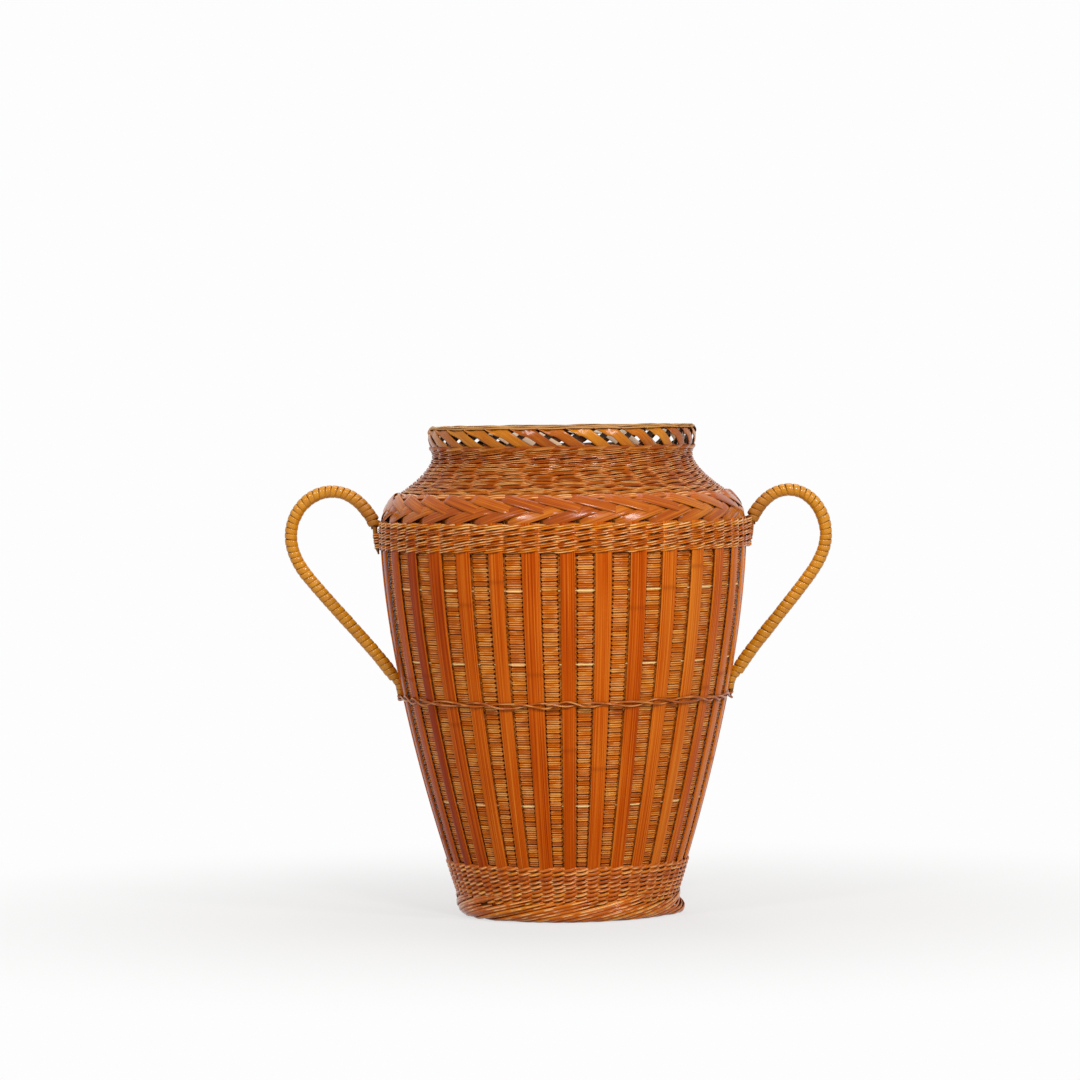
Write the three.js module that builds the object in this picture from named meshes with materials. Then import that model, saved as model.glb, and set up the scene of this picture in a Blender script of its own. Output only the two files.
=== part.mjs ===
// A woven bamboo vase with two cane-wrapped handles, in millimetres with +Z up.
// The origin is the centre of the base, on the table. The handles lie along X and the front looks along -Y.
import * as THREE from 'three';

// Heights of the storeys, from the table up.
const FOOT_HEIGHT = 9;
const LOWER_BAND_HEIGHT = 19.5;
const SLAT_FIELD_HEIGHT = 159.5;
const UPPER_BAND_HEIGHT = 14;
const BRAID_HEIGHT = 14;
const NECK_HEIGHT = 23;
const RIM_HEIGHT = 11;

// Body wall: the outside of the weave swells from the foot to its widest ring, behind the upper band.
// Relief is how far the weave stands proud over the stake in the middle of each panel.
const FOOT_RADIUS = 54.4;
const SHOULDER_RADIUS = 92.6;
const BELLY_POWER = 1.6;
const WEAVE_THICKNESS = 2;
const STAKE_RELIEF = 0.8;

// Base and foot border.
const BASE_THICKNESS = 5;
const FOOT_OVERHANG = 3.1;
const FOOT_ROUNDING = 2;

// Slats that stand over the weave. The first one is turned a little to the right of the front.
const SLAT_COUNT = 32;
const SLAT_TOP_WIDTH = 8.6;
const SLAT_FOOT_WIDTH = 6.1;
const SLAT_THICKNESS = 1;
const SLAT_TURN = THREE.MathUtils.degToRad(0.8);

// Bands and binding strands that hold the slats, and how softly they swell over a handle's tail.
const BAND_THICKNESS = 1.6;
const STRAND_DIAMETER = 1.6;
const WAIST_DROP = 76;
const SWELL_RUN = 5;

// Shoulder braid, neck and rim. The neck's rows of strands have a groove between them.
const BRAID_SETBACK = 6;
const BRAID_THICKNESS = 5;
const NECK_STEP = 3;
const NECK_PULL_RADIUS = 62;
const NECK_THICKNESS = 2.4;
const NECK_ROWS = 12;
const NECK_GROOVE = 0.6;
const RIM_RADIUS = 68;
const RIM_DEPTH = 2.8;
const RIM_HOOP = 1.6;
const RIM_STRAP_COUNT = 32;
const RIM_STRAP_WIDTH = 8;
const RIM_STRAP_SLANT = 12.5;

// Handle canes: reach is from the slats to the cane's centre line, rise is above the upper band.
// The right loop hangs a little lower than the left one.
const LEFT_REACH = 46;
const RIGHT_REACH = 41;
const RIGHT_SAG = 2;
const HANDLE_RISE = 16;
const REACH_DROP = 7;
const ELBOW_DROP = 20.5;
const ELBOW_INSET = 8.4;
const ELBOW_BEND = 7.4;
const SEAT_BEND = 9.5;
const CORE_DIAMETER = 4.4;
const TAIL_WIDTH = 4;
const TAIL_THICKNESS = 2;
const TAIL_LEAN = 2.5;
const TAIL_SHOW = 4;

// Cane winding round each handle.
const WRAP_WIDTH = 2.2;
const WRAP_THICKNESS = 0.8;
const WRAP_GAP = 1.15;
const WRAP_START = 4;

// Air left between pieces that touch on the real vase.
const CLEARANCE = 0.3;

// Facets.
const RING_STEPS = 64;
const BODY_STEPS = 7;
const NECK_STEPS = 4;
const CORE_STEPS = 42;
const CORE_SIDES = 8;
const STRAND_SIDES = 4;
const TURN_STEPS = 8;
const SEARCH_STEPS = 400;

// Shares that shape a curve: a cubic's arms for a quarter ellipse, the crest's place along the reach,
// the straight part of the handle's lower arm, and the height at which the neck is drawn in most.
const QUARTER_ARM = 0.5523;
const CREST_SHARE = 0.54;
const ARM_SHARE = 0.37;
const NECK_PULL_SHARE = 0.65;

// Levels that follow from the storeys.
const lowerBandTop = FOOT_HEIGHT + LOWER_BAND_HEIGHT;
const upperBandBottom = lowerBandTop + SLAT_FIELD_HEIGHT;
const upperBandTop = upperBandBottom + UPPER_BAND_HEIGHT;
const braidTop = upperBandTop + BRAID_HEIGHT;
const neckTop = braidTop + NECK_HEIGHT;
const rimTop = neckTop + RIM_HEIGHT;
const widestLevel = upperBandBottom + UPPER_BAND_HEIGHT / 2;
const waistLevel = upperBandBottom - WAIST_DROP;
const bodyBottom = FOOT_HEIGHT + CLEARANCE;
const bodyLevels = levels(bodyBottom, upperBandTop, BODY_STEPS);

// Radii of the layers of the wall at a height: weave, slat back, slat face, back of a band.
function weaveRadius(z) {
  const share = Math.abs(widestLevel - z) / (widestLevel - FOOT_HEIGHT);
  return SHOULDER_RADIUS - (SHOULDER_RADIUS - FOOT_RADIUS) * share ** BELLY_POWER;
}

function slatBack(z) {
  return weaveRadius(z) + CLEARANCE;
}

function slatFace(z) {
  return slatBack(z) + SLAT_THICKNESS;
}

function bandBack(z) {
  return slatFace(z) + CLEARANCE;
}

// Even levels from one height to another.
function levels(low, high, steps) {
  return Array.from({ length: steps + 1 }, (_, i) => THREE.MathUtils.lerp(low, high, i / steps));
}

// A point at an angle from the front, growing to the right.
function polar(radius, angle, z) {
  return new THREE.Vector3(radius * Math.sin(angle), -radius * Math.cos(angle), z);
}

// Turns a geometry's faces outward if they point in.
function outward(geometry) {
  const position = geometry.getAttribute('position');
  const index = geometry.getIndex();
  const corners = [new THREE.Vector3(), new THREE.Vector3(), new THREE.Vector3()];
  let volume = 0;
  for (let i = 0; i < index.count; i += 3) {
    corners.forEach((corner, k) => corner.fromBufferAttribute(position, index.getX(i + k)));
    volume += corners[0].dot(corners[1].clone().cross(corners[2]));
  }
  if (volume < 0) index.array.reverse();
  geometry.computeVertexNormals();
  return geometry;
}

// A ring turned from a closed outline of [radius, height] points.
function turned(outline, steps = RING_STEPS) {
  const points = [...outline, outline[0]].map(([radius, z]) => new THREE.Vector2(radius, z));
  return outward(new THREE.LatheGeometry(points, steps).rotateX(Math.PI / 2));
}

// A closed solid through a row of like rings of points. A hoop's last ring joins its first.
function loft(rings, hoop = false) {
  const sides = rings[0].length;
  const spans = hoop ? rings.length : rings.length - 1;
  const index = [];
  for (let i = 0; i < spans; i++) {
    const near = i * sides;
    const far = ((i + 1) % rings.length) * sides;
    for (let j = 0; j < sides; j++) {
      const next = (j + 1) % sides;
      index.push(near + j, far + j, far + next, near + j, far + next, near + next);
    }
  }
  const last = (rings.length - 1) * sides;
  for (let j = 1; j < sides - 1 && !hoop; j++) {
    index.push(0, j, j + 1, last, last + j + 1, last + j);
  }
  const geometry = new THREE.BufferGeometry().setFromPoints(rings.flat());
  return outward(geometry.setIndex(index));
}

const vase = new THREE.Group();
vase.name = 'woven_vase';

const finishes = {
  weave: { color: '#a4581d', roughness: 0.5 },
  slat: { color: '#8f4312', roughness: 0.32 },
  band: { color: '#a9561a', roughness: 0.4 },
  neck: { color: '#b4651f', roughness: 0.42 },
  cane: { color: '#c58a45', roughness: 0.4 },
  base: { color: '#9a5a26', roughness: 0.6 },
};

// Adds a named piece with a finish of its own.
function addPiece(name, geometry, finish) {
  const mesh = new THREE.Mesh(geometry, new THREE.MeshStandardMaterial({ ...finish, metalness: 0 }));
  mesh.name = name;
  vase.add(mesh);
}

// Base mat, flush with the foot border and inside it.
const footInside = FOOT_RADIUS - WEAVE_THICKNESS;

function baseMat() {
  const radius = footInside - CLEARANCE;
  const disc = new THREE.CylinderGeometry(radius, radius, BASE_THICKNESS, RING_STEPS);
  return disc.rotateX(Math.PI / 2).translate(0, 0, BASE_THICKNESS / 2);
}

// Rolled foot border, flat where it stands and where the wall stands on it.
function footBorder() {
  const outside = FOOT_RADIUS + FOOT_OVERHANG;
  return turned([
    [footInside, 0],
    [outside - FOOT_ROUNDING, 0],
    [outside, FOOT_ROUNDING],
    [outside, FOOT_HEIGHT - FOOT_ROUNDING],
    [outside - FOOT_ROUNDING / 2, FOOT_HEIGHT],
    [footInside, FOOT_HEIGHT],
  ]);
}

// Wall of fine splints: a rib over the stake in each panel, and a hollow behind each slat.
function bodyWeave() {
  const rings = Array.from({ length: 2 * SLAT_COUNT }, (_, i) => {
    const angle = SLAT_TURN + (i * Math.PI) / SLAT_COUNT;
    const hollow = i % 2 === 0 ? STAKE_RELIEF : 0;
    const outside = bodyLevels.map((z) => polar(weaveRadius(z) - hollow, angle, z));
    const inside = bodyLevels.map((z) => polar(weaveRadius(z) - WEAVE_THICKNESS, angle, z));
    return [...outside, ...inside.reverse()];
  });
  return loft(rings, true);
}

// One tapered slat at an angle from the front, bent to the wall.
function slat(angle) {
  const across = new THREE.Vector3(Math.cos(angle), Math.sin(angle), 0);
  const rings = bodyLevels.map((z, i) => {
    const width = THREE.MathUtils.lerp(SLAT_FOOT_WIDTH, SLAT_TOP_WIDTH, i / BODY_STEPS);
    const back = polar(slatBack(z), angle, z);
    const face = polar(slatFace(z), angle, z);
    return [
      back.clone().addScaledVector(across, -width / 2),
      back.clone().addScaledVector(across, width / 2),
      face.clone().addScaledVector(across, width / 2),
      face.clone().addScaledVector(across, -width / 2),
    ];
  });
  return loft(rings);
}

// Lower band, standing on the foot border.
function lowerBand() {
  const middle = (bodyBottom + lowerBandTop) / 2;
  return turned([
    [bandBack(bodyBottom), bodyBottom],
    [bandBack(bodyBottom) + BAND_THICKNESS, bodyBottom],
    [bandBack(middle) + BAND_THICKNESS, middle],
    [bandBack(lowerBandTop) + BAND_THICKNESS, lowerBandTop],
    [bandBack(lowerBandTop), lowerBandTop],
    [bandBack(middle), middle],
  ]);
}

// Share of its swelling that a ring has at an angle: 1 over a handle's tail, 0 away from it.
function swelling(angle, radius) {
  const { flat, end } = swellSpan(radius);
  const away = Math.abs(Math.asin(Math.cos(angle)));
  return THREE.MathUtils.clamp((end - away) / (end - flat), 0, 1);
}

// Half angles of a swelling: its flat top, and where it ends.
function swellSpan(radius) {
  const flat = (TAIL_WIDTH / 2 + 2 * CLEARANCE) / radius;
  return { flat, end: flat + SWELL_RUN / radius };
}

// Angles round a ring, even but for the corners of its two swellings.
function swollenAngles(radius) {
  const { flat, end } = swellSpan(radius);
  const step = (2 * Math.PI) / RING_STEPS;
  const clear = (angle) => Math.abs(Math.asin(Math.cos(angle))) > end + step / 4;
  const even = Array.from({ length: RING_STEPS }, (_, i) => i * step).filter(clear);
  const corners = [-end, -flat, flat, end];
  const both = [Math.PI / 2, -Math.PI / 2 + 2 * Math.PI];
  return [...even, ...both.flatMap((side) => corners.map((turn) => side + turn))].sort((a, b) => a - b);
}

// Upper band, swollen over the handles' tails, which lean out towards its top edge.
function upperBand() {
  const stations = levels(upperBandBottom, upperBandTop, 2);
  const rings = swollenAngles(bandBack(widestLevel)).map((angle) => {
    const share = swelling(angle, bandBack(widestLevel));
    const back = stations.map((z, i) => {
      const lean = (TAIL_LEAN * i) / (stations.length - 1);
      return [bandBack(z) + share * (TAIL_THICKNESS + CLEARANCE + lean), z];
    });
    const face = back.map(([radius, z]) => [radius + BAND_THICKNESS, z]);
    return [...back, ...face.reverse()].map(([radius, z]) => polar(radius, angle, z));
  });
  return loft(rings, true);
}

// One strand of the waist binding at a height, swollen over the handles' tails.
function waistStrand(z) {
  const seat = bandBack(z) + STRAND_DIAMETER / 2;
  const rings = swollenAngles(seat).map((angle) => {
    const radius = seat + swelling(angle, seat) * (TAIL_THICKNESS + CLEARANCE);
    return Array.from({ length: STRAND_SIDES }, (_, i) => {
      const turn = (i * 2 * Math.PI) / STRAND_SIDES;
      const out = (Math.cos(turn) * STRAND_DIAMETER) / 2;
      return polar(radius + out, angle, z + (Math.sin(turn) * STRAND_DIAMETER) / 2);
    });
  });
  return loft(rings, true);
}

// Shoulder braid, a domed ring that draws in to carry the neck.
const braidFoot = weaveRadius(upperBandTop);
const braidHead = braidFoot - BRAID_SETBACK;

function shoulderBraid() {
  const low = upperBandTop + CLEARANCE;
  const dome = new THREE.QuadraticBezierCurve(
    new THREE.Vector2(braidFoot, low),
    new THREE.Vector2(braidFoot, (low + braidTop) / 2),
    new THREE.Vector2(braidHead, braidTop),
  );
  const outside = dome.getPoints(3).map((point) => [point.x, point.y]);
  return turned([...outside, [braidHead - BRAID_THICKNESS, braidTop], [braidFoot - BRAID_THICKNESS, low]]);
}

// Waisted neck, standing on the braid: rows of strands that bend at a stake over each slat.
function neckWeave() {
  const low = braidTop + CLEARANCE;
  const curve = new THREE.QuadraticBezierCurve(
    new THREE.Vector2(braidHead - NECK_STEP, low),
    new THREE.Vector2(NECK_PULL_RADIUS, low + NECK_PULL_SHARE * NECK_HEIGHT),
    new THREE.Vector2(RIM_RADIUS, neckTop),
  );
  const halves = 2 * NECK_ROWS;
  const outside = curve.getSpacedPoints(halves).map((point, i) => {
    const tangent = curve.getTangentAt(i / halves);
    const groove = i % 2 === 0 && i % halves !== 0 ? NECK_GROOVE : 0;
    return [point.x - groove * tangent.y, point.y + groove * tangent.x];
  });
  const inside = curve.getPoints(NECK_STEPS).map((point) => [point.x - NECK_THICKNESS, point.y]);
  return turned([...outside, ...inside.reverse()], SLAT_COUNT).rotateZ(SLAT_TURN);
}

// A ring of slanting straps between a lower and an upper hoop. The slant is how far a strap's top lies
// to the right of its foot, as an angle. Points run row by row, two a strap, outside first.
function strapRing(inside, outside, slant) {
  const half = RIM_STRAP_WIDTH / RIM_RADIUS / 2;
  const low = neckTop + CLEARANCE;
  const rows = [
    [low, 0],
    [low + RIM_HOOP, 0],
    [(low + rimTop) / 2, 1 / 2],
    [rimTop - RIM_HOOP, 1],
    [rimTop, 1],
  ];
  const around = 2 * RIM_STRAP_COUNT;
  const points = [outside, inside].flatMap((radius) => rows.flatMap(([z, leaning]) => (
    Array.from({ length: around }, (_, i) => {
      const middle = SLAT_TURN + (Math.floor(i / 2) * 2 * Math.PI) / RIM_STRAP_COUNT;
      const edge = i % 2 === 0 ? -half : half;
      return polar(radius, middle + edge + slant * (leaning - 1 / 2), z);
    }))));

  const index = [];
  const quad = (a, b, c, d) => index.push(a, b, c, a, c, d);
  for (let i = 0; i < around; i++) {
    const [out, back] = [0, 1].map((layer) => rows.map((_, row) => {
      const start = (layer * rows.length + row) * around;
      return [start + i, start + ((i + 1) % around)];
    }));
    for (const row of [0, 3]) {
      quad(out[row][0], out[row][1], out[row + 1][1], out[row + 1][0]);
      quad(back[row][1], back[row][0], back[row + 1][0], back[row + 1][1]);
    }
    quad(back[0][0], back[0][1], out[0][1], out[0][0]);
    quad(out[4][0], out[4][1], back[4][1], back[4][0]);
    if (i % 2 === 0) {
      for (const row of [1, 2]) {
        quad(out[row][0], out[row][1], out[row + 1][1], out[row + 1][0]);
        quad(back[row][1], back[row][0], back[row + 1][0], back[row + 1][1]);
        quad(back[row][0], out[row][0], out[row + 1][0], back[row + 1][0]);
        quad(out[row][1], back[row][1], back[row + 1][1], out[row + 1][1]);
      }
    } else {
      quad(out[1][0], out[1][1], back[1][1], back[1][0]);
      quad(back[3][0], back[3][1], out[3][1], out[3][0]);
    }
  }
  const geometry = new THREE.BufferGeometry().setFromPoints(points);
  return outward(geometry.setIndex(index));
}

// Centre line of a handle in the XZ plane: from a tail below the upper band, up under the band,
// over a crest, round the furthest point, down a straight arm and under the waist binding.
const tailSeat = CLEARANCE + TAIL_THICKNESS / 2;
const seatLevel = waistLevel + STRAND_DIAMETER + TAIL_SHOW;
const tailEndLevel = waistLevel - STRAND_DIAMETER - TAIL_SHOW;

function handleRoute(reach, sag) {
  const at = (x, z) => new THREE.Vector3(x, 0, z);
  const along = (from, direction, length) => from.clone().addScaledVector(direction, length);
  const onSlat = (z, lean = 0) => at(slatFace(z) + tailSeat + lean, z);

  const tailTip = onSlat(upperBandBottom - TAIL_SHOW);
  const underBand = onSlat(upperBandBottom);
  const bandExit = onSlat(upperBandTop, TAIL_LEAN);
  const crest = at(slatFace(upperBandTop) + CREST_SHARE * reach, upperBandTop + HANDLE_RISE - sag);
  const furthest = at(slatFace(upperBandTop) + reach, upperBandTop - REACH_DROP - sag);
  const elbow = at(furthest.x - ELBOW_INSET, furthest.z - ELBOW_DROP);
  const seat = onSlat(seatLevel);
  const tailEnd = onSlat(tailEndLevel);

  const exitWay = bandExit.clone().sub(underBand).normalize();
  const armWay = elbow.clone().sub(seat).normalize();
  const seatWay = seat.clone().sub(tailEnd).normalize();
  const exitArm = QUARTER_ARM * (crest.z - bandExit.z);
  const crestIn = at(crest.x - QUARTER_ARM * (crest.x - bandExit.x), crest.z);
  const crestOut = at(crest.x + QUARTER_ARM * (furthest.x - crest.x), crest.z);
  const furthestIn = at(furthest.x, furthest.z + QUARTER_ARM * (crest.z - furthest.z));
  const furthestOut = at(furthest.x, furthest.z - ELBOW_BEND);
  const armLength = ARM_SHARE * elbow.distanceTo(seat);

  const route = new THREE.CurvePath();
  route.add(new THREE.LineCurve3(tailTip, underBand));
  route.add(new THREE.LineCurve3(underBand, bandExit));
  route.add(new THREE.CubicBezierCurve3(bandExit, along(bandExit, exitWay, exitArm), crestIn, crest));
  route.add(new THREE.CubicBezierCurve3(crest, crestOut, furthestIn, furthest));
  route.add(new THREE.CubicBezierCurve3(furthest, furthestOut, along(elbow, armWay, ELBOW_BEND), elbow));
  route.add(new THREE.CubicBezierCurve3(
    elbow,
    along(elbow, armWay, -armLength),
    along(seat, seatWay, SEAT_BEND),
    seat,
  ));
  route.add(new THREE.LineCurve3(seat, tailEnd));
  return route;
}

// Where a handle's stretches begin, as shares of its length: band exit, winding start and end, lower seat.
function handleShares(route) {
  const ends = route.getCurveLengths();
  const total = ends.at(-1);
  const bandExit = ends[1] / total;
  const seat = ends.at(-2) / total;
  const room = CORE_DIAMETER / 2 + WRAP_THICKNESS + 3 * CLEARANCE;
  let wrapEnd = seat;
  while (standOff(route.getPoint(wrapEnd)) < room) wrapEnd -= 1 / SEARCH_STEPS;
  return { total, bandExit, wrapStart: bandExit + WRAP_START / total, wrapEnd, seat };
}

// Distance of a centre-line point from the slats.
function standOff(point) {
  const slope = slatFace(point.z + 1) - slatFace(point.z);
  return (point.x - slatFace(point.z)) / Math.hypot(1, slope);
}

// Point and square directions of a handle at a share of its length. The side is 1 right, -1 left.
function handleFrame(route, share, side) {
  const point = route.getPoint(share);
  const tangent = route.getTangent(share);
  const normal = new THREE.Vector3(tangent.z, 0, -tangent.x);
  for (const vector of [point, tangent, normal]) vector.x *= side;
  return { point, tangent, normal, width: new THREE.Vector3(0, 1, 0) };
}

// Handle cane: round in the loop, flattened where its tails are tucked in.
function handleCore(route, side) {
  const shares = handleShares(route);
  const rings = levels(0, 1, CORE_STEPS).map((share) => {
    const { point, normal, width } = handleFrame(route, share, side);
    // The cane starts to get round one ring after it leaves the band.
    const leaving = THREE.MathUtils.smoothstep(share - 1 / CORE_STEPS, shares.bandExit, shares.wrapStart);
    const seating = 1 - THREE.MathUtils.smoothstep(share, shares.wrapEnd, shares.seat);
    const round = leaving * seating;
    const thick = THREE.MathUtils.lerp(TAIL_THICKNESS, CORE_DIAMETER, round) / 2;
    const wide = THREE.MathUtils.lerp(TAIL_WIDTH, CORE_DIAMETER, round) / 2;
    return Array.from({ length: CORE_SIDES }, (_, i) => {
      const turn = (i * 2 * Math.PI) / CORE_SIDES;
      const rim = point.clone().addScaledVector(normal, Math.cos(turn) * thick);
      return rim.addScaledVector(width, Math.sin(turn) * wide);
    });
  });
  return loft(rings);
}

// Cane winding: one flat strip in an unbroken helix round the handle. Returns its sections in order.
function windingSections(route, side) {
  const { total, wrapStart, wrapEnd } = handleShares(route);
  const radius = CORE_DIAMETER / 2 + CLEARANCE + WRAP_THICKNESS / 2;
  const turns = Math.floor(((wrapEnd - wrapStart) * total) / (WRAP_WIDTH + WRAP_GAP));
  return levels(wrapStart, wrapEnd, turns * TURN_STEPS).map((share, i) => {
    const { point, tangent, normal, width } = handleFrame(route, share, side);
    const turn = (i * 2 * Math.PI) / TURN_STEPS;
    const out = normal.multiplyScalar(Math.cos(turn)).addScaledVector(width, Math.sin(turn));
    const corner = (lengthwise, depth) => point.clone()
      .addScaledVector(out, radius + (depth * WRAP_THICKNESS) / 2)
      .addScaledVector(tangent, (lengthwise * WRAP_WIDTH) / 2);
    return [corner(-1, -1), corner(1, -1), corner(1, 1), corner(-1, 1)];
  });
}

// Least distance between the points of one turn and those of the next.
function leastGap(sections) {
  let least = Infinity;
  for (let i = 0; i + TURN_STEPS + 1 < sections.length; i++) {
    const nextTurn = sections.slice(i + TURN_STEPS - 1, i + TURN_STEPS + 2).flat();
    for (const point of sections[i]) {
      for (const other of nextTurn) least = Math.min(least, point.distanceTo(other));
    }
  }
  return least;
}

addPiece('base_mat', baseMat(), finishes.base);
addPiece('foot_border', footBorder(), finishes.band);
addPiece('body_weave', bodyWeave(), finishes.weave);
addPiece('lower_band', lowerBand(), finishes.band);
for (let i = 0; i < SLAT_COUNT; i++) {
  const angle = SLAT_TURN + (i * 2 * Math.PI) / SLAT_COUNT;
  addPiece(`slat_${String(i + 1).padStart(2, '0')}`, slat(angle), finishes.slat);
}
const strandShift = (STRAND_DIAMETER + CLEARANCE) / 2;
addPiece('waist_strand_upper', waistStrand(waistLevel + strandShift), finishes.band);
addPiece('waist_strand_lower', waistStrand(waistLevel - strandShift), finishes.band);
addPiece('upper_band', upperBand(), finishes.band);
addPiece('shoulder_braid', shoulderBraid(), finishes.neck);
addPiece('neck_weave', neckWeave(), finishes.neck);
// The rim's straps lean left outside, and fold over the top to lean right inside.
const rimLayer = (RIM_DEPTH - CLEARANCE) / 2;
const rimInside = RIM_RADIUS - RIM_DEPTH;
const rimSlant = RIM_STRAP_SLANT / RIM_RADIUS;
addPiece('rim_straps_outer', strapRing(RIM_RADIUS - rimLayer, RIM_RADIUS, -rimSlant), finishes.neck);
addPiece('rim_straps_inner', strapRing(rimInside, rimInside + rimLayer, rimSlant), finishes.neck);
for (const [name, reach, sag, side] of [['left', LEFT_REACH, 0, -1], ['right', RIGHT_REACH, RIGHT_SAG, 1]]) {
  const route = handleRoute(reach, sag);
  const sections = windingSections(route, side);
  addPiece(`handle_core_${name}`, handleCore(route, side), finishes.cane);
  addPiece(`handle_wrap_${name}`, loft(sections), finishes.cane);
  console.log(`handle_wrap_${name}: least gap between turns ${leastGap(sections).toFixed(2)} mm`);
}

export default vase;
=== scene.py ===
"""A woven bamboo vase: upright slats over a fine weave, twined bands, a braided shoulder, a strap rim
and two cane-wrapped handles.

Sizes are in millimetres, and angles in radians from the front, growing to the right. Meshes are written
in metres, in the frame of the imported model.
"""
import logging
import math
from collections.abc import Sequence
from dataclasses import dataclass
from enum import Enum

import bpy
import numpy as np
from mathutils import Matrix, Vector


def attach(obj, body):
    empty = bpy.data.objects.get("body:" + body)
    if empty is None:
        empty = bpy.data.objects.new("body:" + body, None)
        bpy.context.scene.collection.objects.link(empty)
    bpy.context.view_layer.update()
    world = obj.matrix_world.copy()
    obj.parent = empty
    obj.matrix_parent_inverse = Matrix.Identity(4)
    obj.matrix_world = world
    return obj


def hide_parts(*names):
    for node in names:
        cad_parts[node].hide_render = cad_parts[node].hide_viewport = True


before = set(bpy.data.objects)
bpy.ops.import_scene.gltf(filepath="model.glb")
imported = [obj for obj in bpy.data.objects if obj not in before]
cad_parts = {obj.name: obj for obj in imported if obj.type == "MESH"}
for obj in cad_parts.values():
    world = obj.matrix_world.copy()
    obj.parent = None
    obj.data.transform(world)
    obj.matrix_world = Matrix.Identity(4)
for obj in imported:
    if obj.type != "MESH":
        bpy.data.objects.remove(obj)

Array = np.ndarray
Span = tuple[float, float]

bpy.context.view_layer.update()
MM = 0.001
FULL_TURN = 2 * math.pi
QUARTER_TURN = math.pi / 2
UP = np.array((0.0, 0.0, 1.0))
SEED = 32
SHARP_ANGLE = math.radians(50)
# Two splints side by side, as corners over half width and half depth, with a narrow groove between them.
PAIR_CORNERS = (
    (1.0, -0.2), (0.62, 1.0), (0.16, 0.8), (0.0, 0.0), (-0.16, 0.8), (-0.62, 1.0), (-1.0, -0.2))
PAIR_CREST = 0.6
PAIR_CREST_SPAN = 0.8
# Painted shade down the sides and back of a strand, where shade falls between strands: its share at half
# depth 0, and how fast it fades towards the face.
PAINTED_SHADE_AT_MIDDLE = 0.8
PAINTED_SHADE_FADE = 1.15

log = logging.getLogger("woven_vase")


class Section(Enum):
    """Outlines of a strand across its run: corners, squareness of the outline, and crown of its face."""

    ROUND = (8, 2.0, 0.0)
    CANE = (12, 2.0, 0.0)
    SPLINT = (6, 5.0, 0.0)
    SPLINT_PAIR = (7, 0.0, 0.0)
    STRIP = (10, 4.0, 0.3)
    SLAT = (14, 6.0, 0.45)

    def corners(self) -> Array:
        """Corners over width and depth, counter-clockwise.

        The outline is a superellipse, |x|^p + |y|^p = 1. The crown lowers the face towards its edges,
        y (1 - crown x^2) for y above 0. A pair of splints has its own corners instead.

        Returns:
            Corners by two, each from -1 to 1.
        """
        if self is Section.SPLINT_PAIR:
            return np.array(PAIR_CORNERS)
        count, power, crown = self.value
        turn = FULL_TURN * np.arange(count) / count
        flat = np.stack((np.cos(turn), np.sin(turn)), axis=-1)
        x, y = (np.sign(flat) * np.abs(flat) ** (2 / power)).T
        y = np.where(y > 0, y * (1 - crown * x * x), y)
        return np.stack((x, y / y.max()), axis=-1)

    def from_crest(self) -> Array:
        """Distance of the corners from the nearest crest, from 0 to 1."""
        out = np.abs(self.corners()[:, 0])
        return np.abs(out - PAIR_CREST) / PAIR_CREST_SPAN if self is Section.SPLINT_PAIR else out


class Side(Enum):
    """The two sides that carry a handle, as the sign of X."""

    LEFT = -1
    RIGHT = 1


def polar(radius: Array | float, angle: Array | float, height: Array | float) -> Array:
    """Places points round the vase: (r sin a, -r cos a, z).

    Args:
        radius: Distance from the axis.
        angle: Angle from the front, growing to the right.
        height: Height over the table.

    Returns:
        Points, with the coordinates in the last axis.
    """
    radius, angle, height = np.broadcast_arrays(radius, angle, height)
    return np.stack((radius * np.sin(angle), -radius * np.cos(angle), height), axis=-1)


def unit(vectors: Array) -> Array:
    """Vectors divided by their lengths."""
    return vectors / np.linalg.norm(vectors, axis=-1, keepdims=True)


def ease(value: Array | float, start: float, end: float) -> Array:
    """Share from 0 at start to 1 at end, with level ends: t^2 (3 - 2 t)."""
    share = np.clip((np.asarray(value) - start) / (end - start), 0, 1)
    return share * share * (3 - 2 * share)


def alternating(count: int) -> Array:
    """1 and -1 in turn."""
    return np.where(np.arange(count) % 2 == 0, 1.0, -1.0)


def hoop_angles(count: int) -> Array:
    """Even angles round the vase, from the back on, where a hoop's seam is out of sight."""
    return math.pi + FULL_TURN * np.arange(count) / count


def run_along(points: Array) -> Array:
    """Lengths run along rows of points, from 0 at the first."""
    steps = np.linalg.norm(np.diff(points, axis=-2), axis=-1)
    return np.concatenate((np.zeros((*steps.shape[:-1], 1)), np.cumsum(steps, axis=-1)), axis=-1)


def bezier(controls: Sequence[Sequence[float]], count: int) -> Array:
    """Points of a Bezier curve: neighbours are mixed as (1 - t) a + t b until one is left.

    Args:
        controls: Control points of the curve.
        count: Number of points.

    Returns:
        Points by coordinates.
    """
    share = np.linspace(0, 1, count)[:, None, None]
    points = np.broadcast_to(np.array(controls, float), (count, *np.shape(controls)))
    while points.shape[1] > 1:
        points = (1 - share) * points[:, :-1] + share * points[:, 1:]
    return points[:, 0]


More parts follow.
